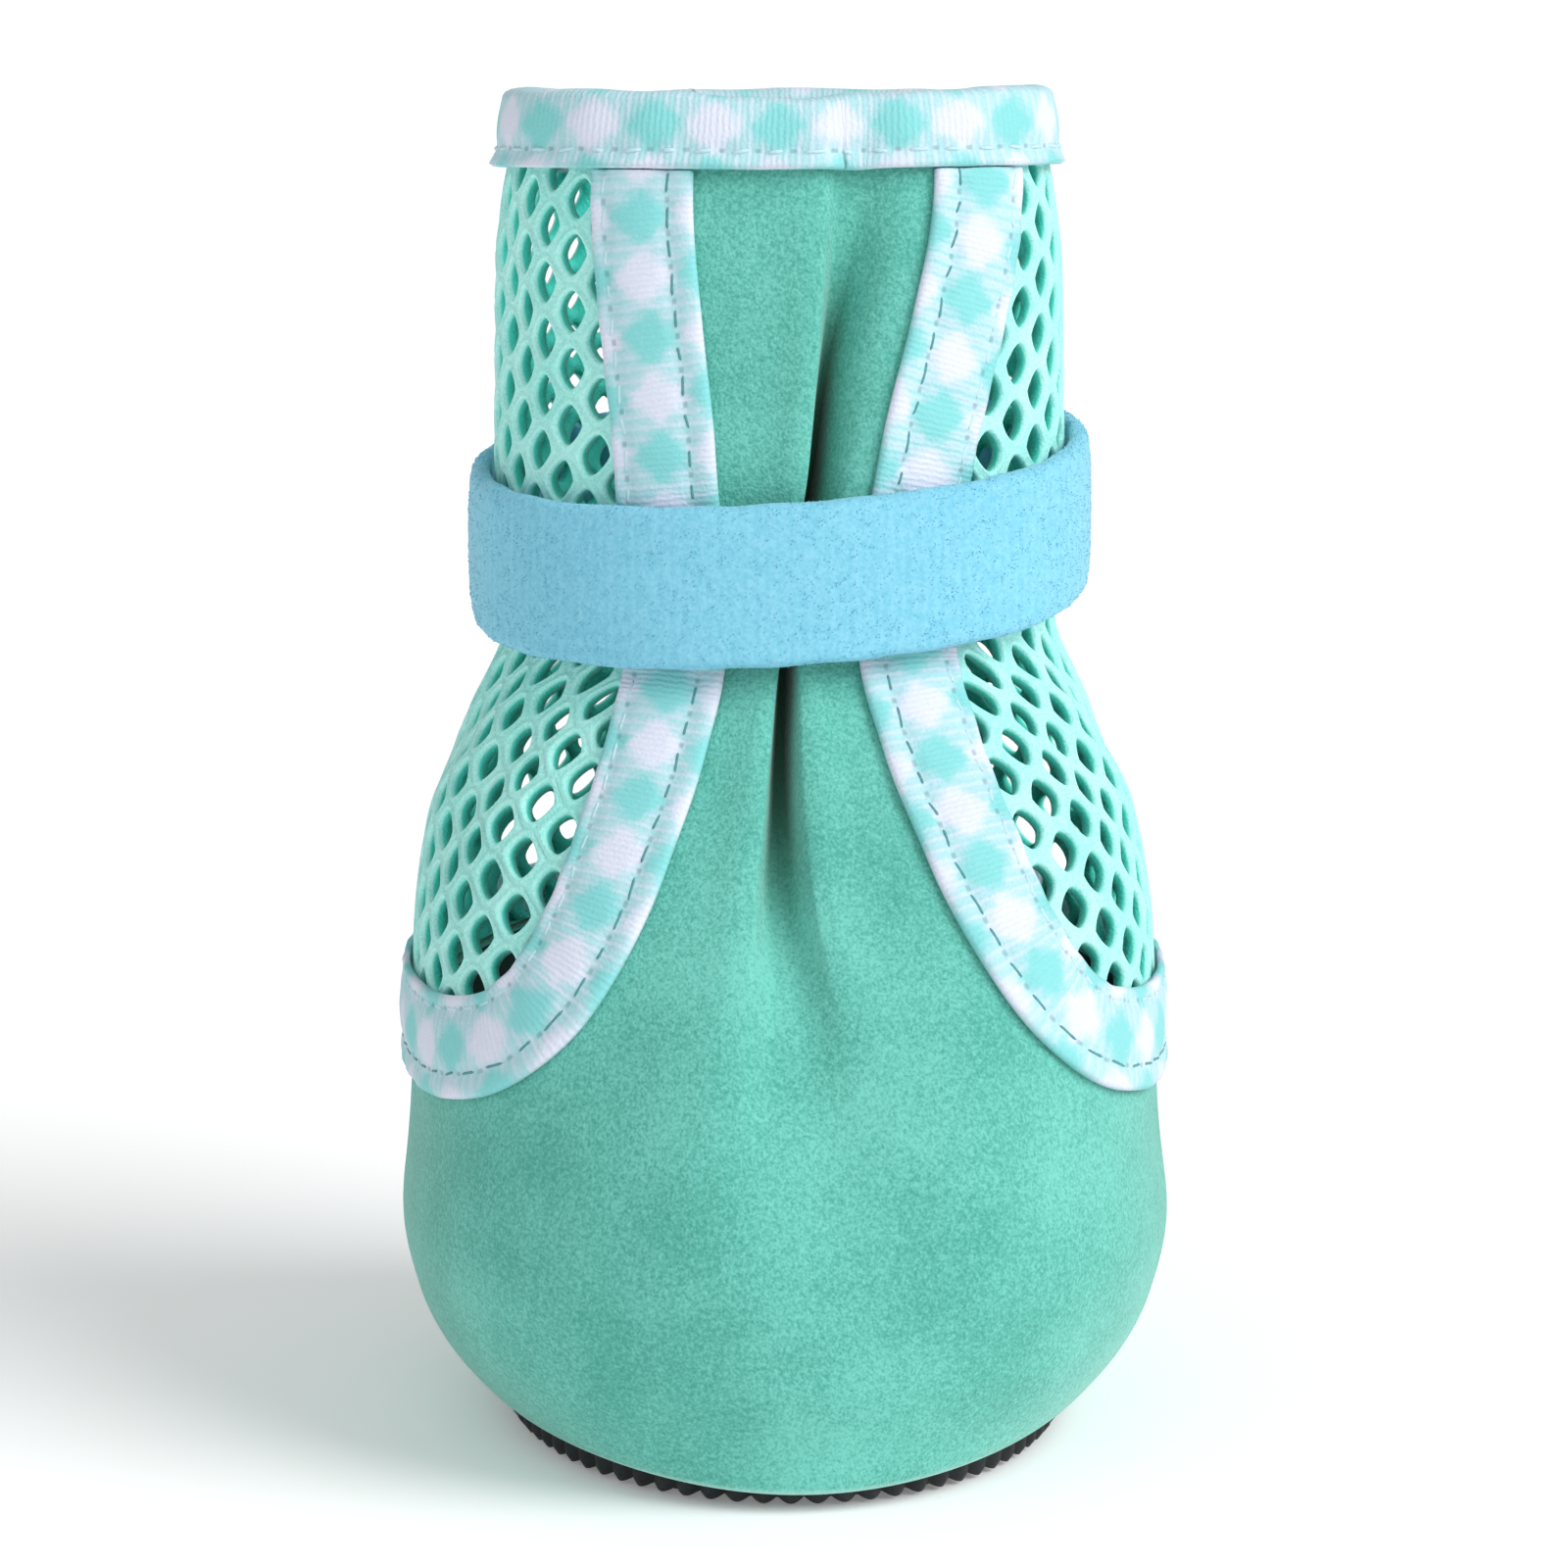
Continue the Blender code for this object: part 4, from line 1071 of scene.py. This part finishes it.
STRAP_HEIGHT = 0.0678
STRAP_TILT = math.radians(4.5)
STRAP_ROLL = math.radians(3.5)
STRAP_WIDTH = 0.0120
STRAP_THICKNESS = 0.0017
STRAP_OVERLAP = 0.0220
STRAP_EDGE = 0.0006
STRAP_WIDEST = 0.24 * NECK_BACK
STRAP_LUMPS = 0.00005
STRAP_SAG = 0.00017
STRAP_CROWN = 0.00025
STRAP_RIPPLE = 0.00005
UNDER_STRAP = 0.65
FACE_LINES = 21
EDGE_LINES = 5
LOOP_SIZES = (0.00011, 0.00022)


def under_strap(name, lift):
    """The last's reaches to one side under the strap, from its lower edge to its upper one."""
    heights = STRAP_HEIGHT + lift + np.linspace(-UNDER_STRAP, UNDER_STRAP, 27) * STRAP_WIDTH
    return last_size(name, row_at(heights))


# How far the strap reaches on each side to clear what lies under it, how it leans with the front
# of the boot, and how far it turns past the back
RISE, SLANT = math.tan(STRAP_TILT), math.tan(STRAP_ROLL)
FRONTS = under_strap("front", -SLANT * NECK_WIDTH / 4)
STRAP_LEAN = (FRONTS[0] - FRONTS[-1]) / (2 * UNDER_STRAP * STRAP_WIDTH)
STRAP_FRONT = (FRONTS[0] + FRONTS[-1]) / 2 + 2 * CLEARANCE + TAPE_THICKNESS
STRAP_SIDE = under_strap("half_width", RISE * NECK_FRONT - SLANT * NECK_WIDTH / 2).max() + CLEARANCE
STRAP_BACK = under_strap("back", RISE * NECK_BACK).max() + CLEARANCE
STRAP_TURN = STRAP_OVERLAP / (STRAP_BACK - CLEARANCE + STRAP_THICKNESS)


def strap_line(angle):
    """The strap's inner face at mid width, and its outward normal, at angles round the neck."""
    x, y = outline(angle, STRAP_SIDE, STRAP_FRONT, STRAP_BACK, STRAP_WIDEST, 0.020)
    normal = unit(np.stack([x / STRAP_SIDE, (y - STRAP_WIDEST) / STRAP_FRONT, 0 * x], -1))
    climb = np.clip((angle - 3 * math.pi + STRAP_TURN) / (STRAP_TURN / 2), 0, 1)
    lift = (STRAP_THICKNESS + CLEARANCE) * ease(climb)
    line = np.stack([x, y, 0 * x], -1) + normal * lift[:, None]
    line[:, 2] = STRAP_HEIGHT + RISE * (line[:, 1] + NECK_FRONT) + SLANT * line[:, 0]
    return line, normal


def pile(along, across, seed):
    """Fine uneven lumps, from about -1 to 1, for the loops of the strap."""
    a, b = along * 2 * math.pi / 0.001, across * 2 * math.pi / 0.001
    return (np.sin(a * 1.31 + 1.7 * np.sin(b * 0.83 + seed)) * np.sin(b * 1.57 + 1.3 * np.sin(a * 0.71))
            + 0.6 * np.sin(a * 2.63 + b * 1.13 + seed) * np.sin(b * 2.29 - a * 0.97)) / 1.6


def strap_profile():
    """The strap's section, as places across it and out from the boot: up its face, round its
    upper edge, down its back and round its lower edge."""
    half, middle = STRAP_WIDTH / 2 - STRAP_EDGE, STRAP_THICKNESS / 2
    face = np.linspace(-half, half, FACE_LINES)
    upper = [(half + STRAP_EDGE * math.sin(t), middle + middle * math.cos(t))
             for t in np.linspace(0, math.pi, EDGE_LINES + 2)[1:-1]]
    lower = [(-across, STRAP_THICKNESS - out) for across, out in upper]
    profile = [(place, STRAP_THICKNESS) for place in face] + upper
    profile += [(place, 0.0) for place in face[::-3]] + lower
    return np.array(profile).T[:, :, None]


def strap_band(steps=560):
    """The strap's section, swept once round the ankle and over its own end. Each point also has
    how far along and across the strap it is."""
    angle = np.linspace(math.pi - STRAP_TURN / 2, 3 * math.pi + STRAP_TURN / 2, steps)
    line, normal = strap_line(angle)
    along = distances(line)
    across, out = strap_profile()
    share, outside = across / (STRAP_WIDTH / 2), out / STRAP_THICKNESS
    lumps = STRAP_LUMPS * pile(along, across, 0.4)
    sag = STRAP_SAG * ripple(along, 0.023, 1) * share ** 2
    points = line + normal * (out + outside * (lumps + sag - STRAP_CROWN * share ** 4))[..., None]
    points[..., 1] += across * STRAP_LEAN * np.clip(np.cos(angle), 0, 1)
    points[..., 2] += across + STRAP_RIPPLE * ripple(along, 0.0062, 3) * share ** 3
    return points, np.stack(np.broadcast_arrays(along, across), -1)


plush = Finish("strap_plush", 0.85, Sheen_Weight=0.34, Sheen_Roughness=0.45,
               Sheen_Tint=(0.80, 0.97, 1.0, 1.0), Specular_IOR_Level=0.2)
loops = plush.noise(0.00030, 2.0)
rows_of_loops = plush.strip()[0].wave(0.00085) * 0.5 + 0.5
tangle = plush.noise(0.0009, 2.0)
loft = loops * 0.60 + tangle * 0.34 + rows_of_loops * 0.06
plush.colour(plush.mix(loft.ramp(0.30, 0.70), (0.180, 0.545, 0.715), (0.270, 0.650, 0.815)))
plush.bump((tangle, 0.00005), (loops, 0.00004))
strap_points, strap_strips = strap_band()
strap = closed_strip("strap_band", strap_points, plush, strap_strips)
hold(strap, "strap", "strap")


def loop_pile(count=5600, segments=4, sides=4, radius=0.000035, sink=0.00006):
    """Small arched loops of yarn all over the strap's face and edges, each leaning its own way."""
    chance = np.random.default_rng(7)
    face = np.roll(strap_points, EDGE_LINES, axis=0)[:FACE_LINES + 2 * EDGE_LINES]
    line = chance.uniform(0, len(face) - 1, count)
    step = chance.uniform(1, face.shape[1] - 2, count)
    i, j = line.astype(int), step.astype(int)
    s, t = (line - i)[:, None], (step - j)[:, None]
    base = ((face[i, j] * (1 - s) + face[i + 1, j] * s) * (1 - t)
            + (face[i, j + 1] * (1 - s) + face[i + 1, j + 1] * s) * t)
    along, across = face[i, j + 1] - face[i, j], face[i + 1, j] - face[i, j]
    out = unit(np.cross(across, along))
    lean = chance.uniform(0, 2 * math.pi, count)[:, None]
    run = unit(unit(across) * np.cos(lean) + unit(along) * np.sin(lean))
    half, rise = chance.uniform(*LOOP_SIZES, (2, count, 1))
    turn = np.linspace(0, math.pi, segments + 1)
    spine = (base[:, None] + run[:, None] * (half[:, None] * np.cos(turn)[:, None])
             + out[:, None] * (rise[:, None] * np.sin(turn)[:, None] - sink))
    side = unit(np.cross(run, out))
    forward = unit(np.gradient(spine, axis=1))
    second = np.cross(forward, side[:, None])
    corner = np.arange(sides) * 2 * math.pi / sides
    ring = (spine[:, :, None] + radius * (side[:, None, None] * np.cos(corner)[:, None]
                                          + second[:, :, None] * np.sin(corner)[:, None]))
    tube = quads(segments + 1, sides, wrap_columns=True)[:, ::-1]
    return ring, copies(tube, count, (segments + 1) * sides)


loop_points, loop_faces = loop_pile()
no_strips = np.zeros((loop_points.size // 3, 2))
hold(mesh_object("strap_loops", loop_points, loop_faces, plush, no_strips), "strap")


# The insole
#
# A loose piece of black felt that lies on the turned-in edge of the cloth. Its rim stands a
# little higher than its middle.

INSOLE_INSET = 0.0012
INSOLE_LOW = UPPER_FOOT + UPPER_WALL + CLEARANCE
INSOLE_THICKNESS = 0.0015

# How far in from the insole's edge, and how far up from its underside, its section goes
INSOLE_LEVELS = [
    (0.0030, 0.0), (0.0004, 0.0), (0.0, 0.0004),
    (0.0, INSOLE_THICKNESS - 0.0004), (0.0004, INSOLE_THICKNESS), (0.0020, INSOLE_THICKNESS),
    (0.0060, INSOLE_THICKNESS - 0.0002), (0.0140, INSOLE_THICKNESS - 0.0003),
]


def sole_ring(inset, height, sides=160):
    """A level outline of the sole's shape, drawn in by an inset."""
    angle = np.linspace(0, 2 * math.pi, sides, endpoint=False)
    x, y = outline(angle, SOLE_WIDTH / 2 - inset, SOLE_TOE - inset, SOLE_HEEL - inset, 0.0, 0.005)
    return np.stack([x, y, np.full(sides, height)], -1)


def stacked(rings):
    """Outlines from the lowest up, as a body's points round it and from its top down."""
    return np.stack(rings[::-1], 1)


felt = Finish("insole_felt", 0.95, Sheen_Weight=0.2, Sheen_Roughness=0.5, Specular_IOR_Level=0.2)
fibres = felt.noise(0.0003, 3.0)
felt.colour(felt.mix(fibres.ramp(0.35, 0.65), (0.012, 0.016, 0.016), (0.035, 0.042, 0.042)))
felt.bump((fibres, 0.00015))
insole_rings = [sole_ring(INSOLE_INSET + inset, INSOLE_LOW + rise) for inset, rise in INSOLE_LEVELS]
insole = closed_strip("insole_felt_piece", stacked(insole_rings), felt)
hold(insole, "insole", "insole")


# The rubber sole
#
# A thin sheet of soft black rubber with rows of round nubs for grip. It is cut out through the
# pattern of nubs, so its edge is scalloped.

NUB_HEIGHT = 0.0010
NUB_PITCH = 0.0056
NUB_RADIUS = 0.0021
NUB_MARGIN = 0.0003
NUB_ROWS = 6
SCALLOP_PITCH = 0.0021
SCALLOP_DEPTH = 0.0008

# The sheet's section, from its underside up: how far in from its edge and how high it goes, and
# how much of the scallops' depth and of their hang it takes
Level = namedtuple("Level", "inset height scallop hang")
SOLE_LEVELS = [
    Level(0.0060, NUB_HEIGHT, 0, 0),
    Level(0.0022, NUB_HEIGHT, 0, 0),
    Level(0.0012, 0.5 * NUB_HEIGHT, 0.3, 0.4),
    Level(0.0005, 0.5 * NUB_HEIGHT, 0.8, 0.4),
    Level(0.0001, NUB_HEIGHT, 1, 0.2),
    Level(0.0, 1.6 * NUB_HEIGHT, 1, 0),
    Level(0.00015, SOLE_HEIGHT - 0.0003, 0.8, 0),
    Level(0.0005, SOLE_HEIGHT, 0.4, 0),
    Level(0.0040, SOLE_HEIGHT, 0, 0),
]

# A nub's section, from its root down and in: shares of its radius, and heights
NUB_PROFILE = [
    (1.15, NUB_HEIGHT + 0.0002), (1.05, NUB_HEIGHT - 0.0001), (1.0, 0.0006), (0.96, 0.0002),
    (0.86, 0.0), (0.45, 0.0), (0.38, 0.00025), (0.0001, 0.0003),
]


def sole_sheet(sides=720):
    """The sheet, with a scalloped rim."""
    girth = distances(sole_ring(0.0, 0.0, sides))
    bumps = round(girth[-1] / SCALLOP_PITCH)
    scallop = np.abs(np.sin(math.pi * bumps * girth / (girth[-1] * sides / (sides - 1))))
    rings = []
    for level in SOLE_LEVELS:
        ring = sole_ring(level.inset, level.height, sides)
        out = unit(ring[:, :2] / (SOLE_WIDTH ** 2, 3 * SOLE_TOE ** 2))
        ring[:, :2] += out * (level.scallop * (scallop - 0.7) * SCALLOP_DEPTH)[:, None]
        ring[:, 2] += level.hang * (0.5 - scallop) * NUB_HEIGHT
        rings.append(ring)
    return stacked(rings)


def nub_places():
    """The middles of the nubs, in staggered rows, wherever a whole nub fits."""
    margin = NUB_RADIUS + NUB_MARGIN
    places = []
    for row in range(-NUB_ROWS, NUB_ROWS + 1):
        y = row * NUB_PITCH * math.sqrt(3) / 2
        reach = (SOLE_HEEL if y > 0 else SOLE_TOE) - margin
        for i in range(-NUB_ROWS, NUB_ROWS + 1):
            x = (i + 0.5 * (row % 2)) * NUB_PITCH
            if math.hypot(x / (SOLE_WIDTH / 2 - margin), y / reach) <= 1:
                places.append((x, y, 0.0))
    return np.array(places)


def nubs(sides=16):
    """Round-shouldered nubs with a small hollow in the middle of each."""
    turn = np.arange(sides) * 2 * math.pi / sides
    radii, heights = np.array(NUB_PROFILE).T[:, :, None]
    circle = radii * NUB_RADIUS * np.array([np.cos(turn), np.sin(turn)])[:, None]
    body = np.stack([*circle, np.tile(heights, sides)], -1)
    places = nub_places()
    faces = quads(len(NUB_PROFILE), sides, wrap_columns=True)[:, ::-1]
    return places[:, None, None] + body, copies(faces, len(places), len(NUB_PROFILE) * sides)


rubber = Finish("sole_rubber", 0.62, Specular_IOR_Level=0.4)
speck = rubber.noise(0.0004, 3.0)
scuff = rubber.noise(0.004, 2.0)
rubber.colour(rubber.mix(scuff.ramp(0.3, 0.7), (0.009, 0.010, 0.011), (0.022, 0.023, 0.025)))
rubber.roughen(0.5 + scuff * 0.3)
rubber.bump((speck, 0.00005))
hold(closed_strip("rubber_sole_sheet", sole_sheet(), rubber), "rubber", "outsole")
hold(mesh_object("rubber_sole_nubs", *nubs(), rubber), "rubber")
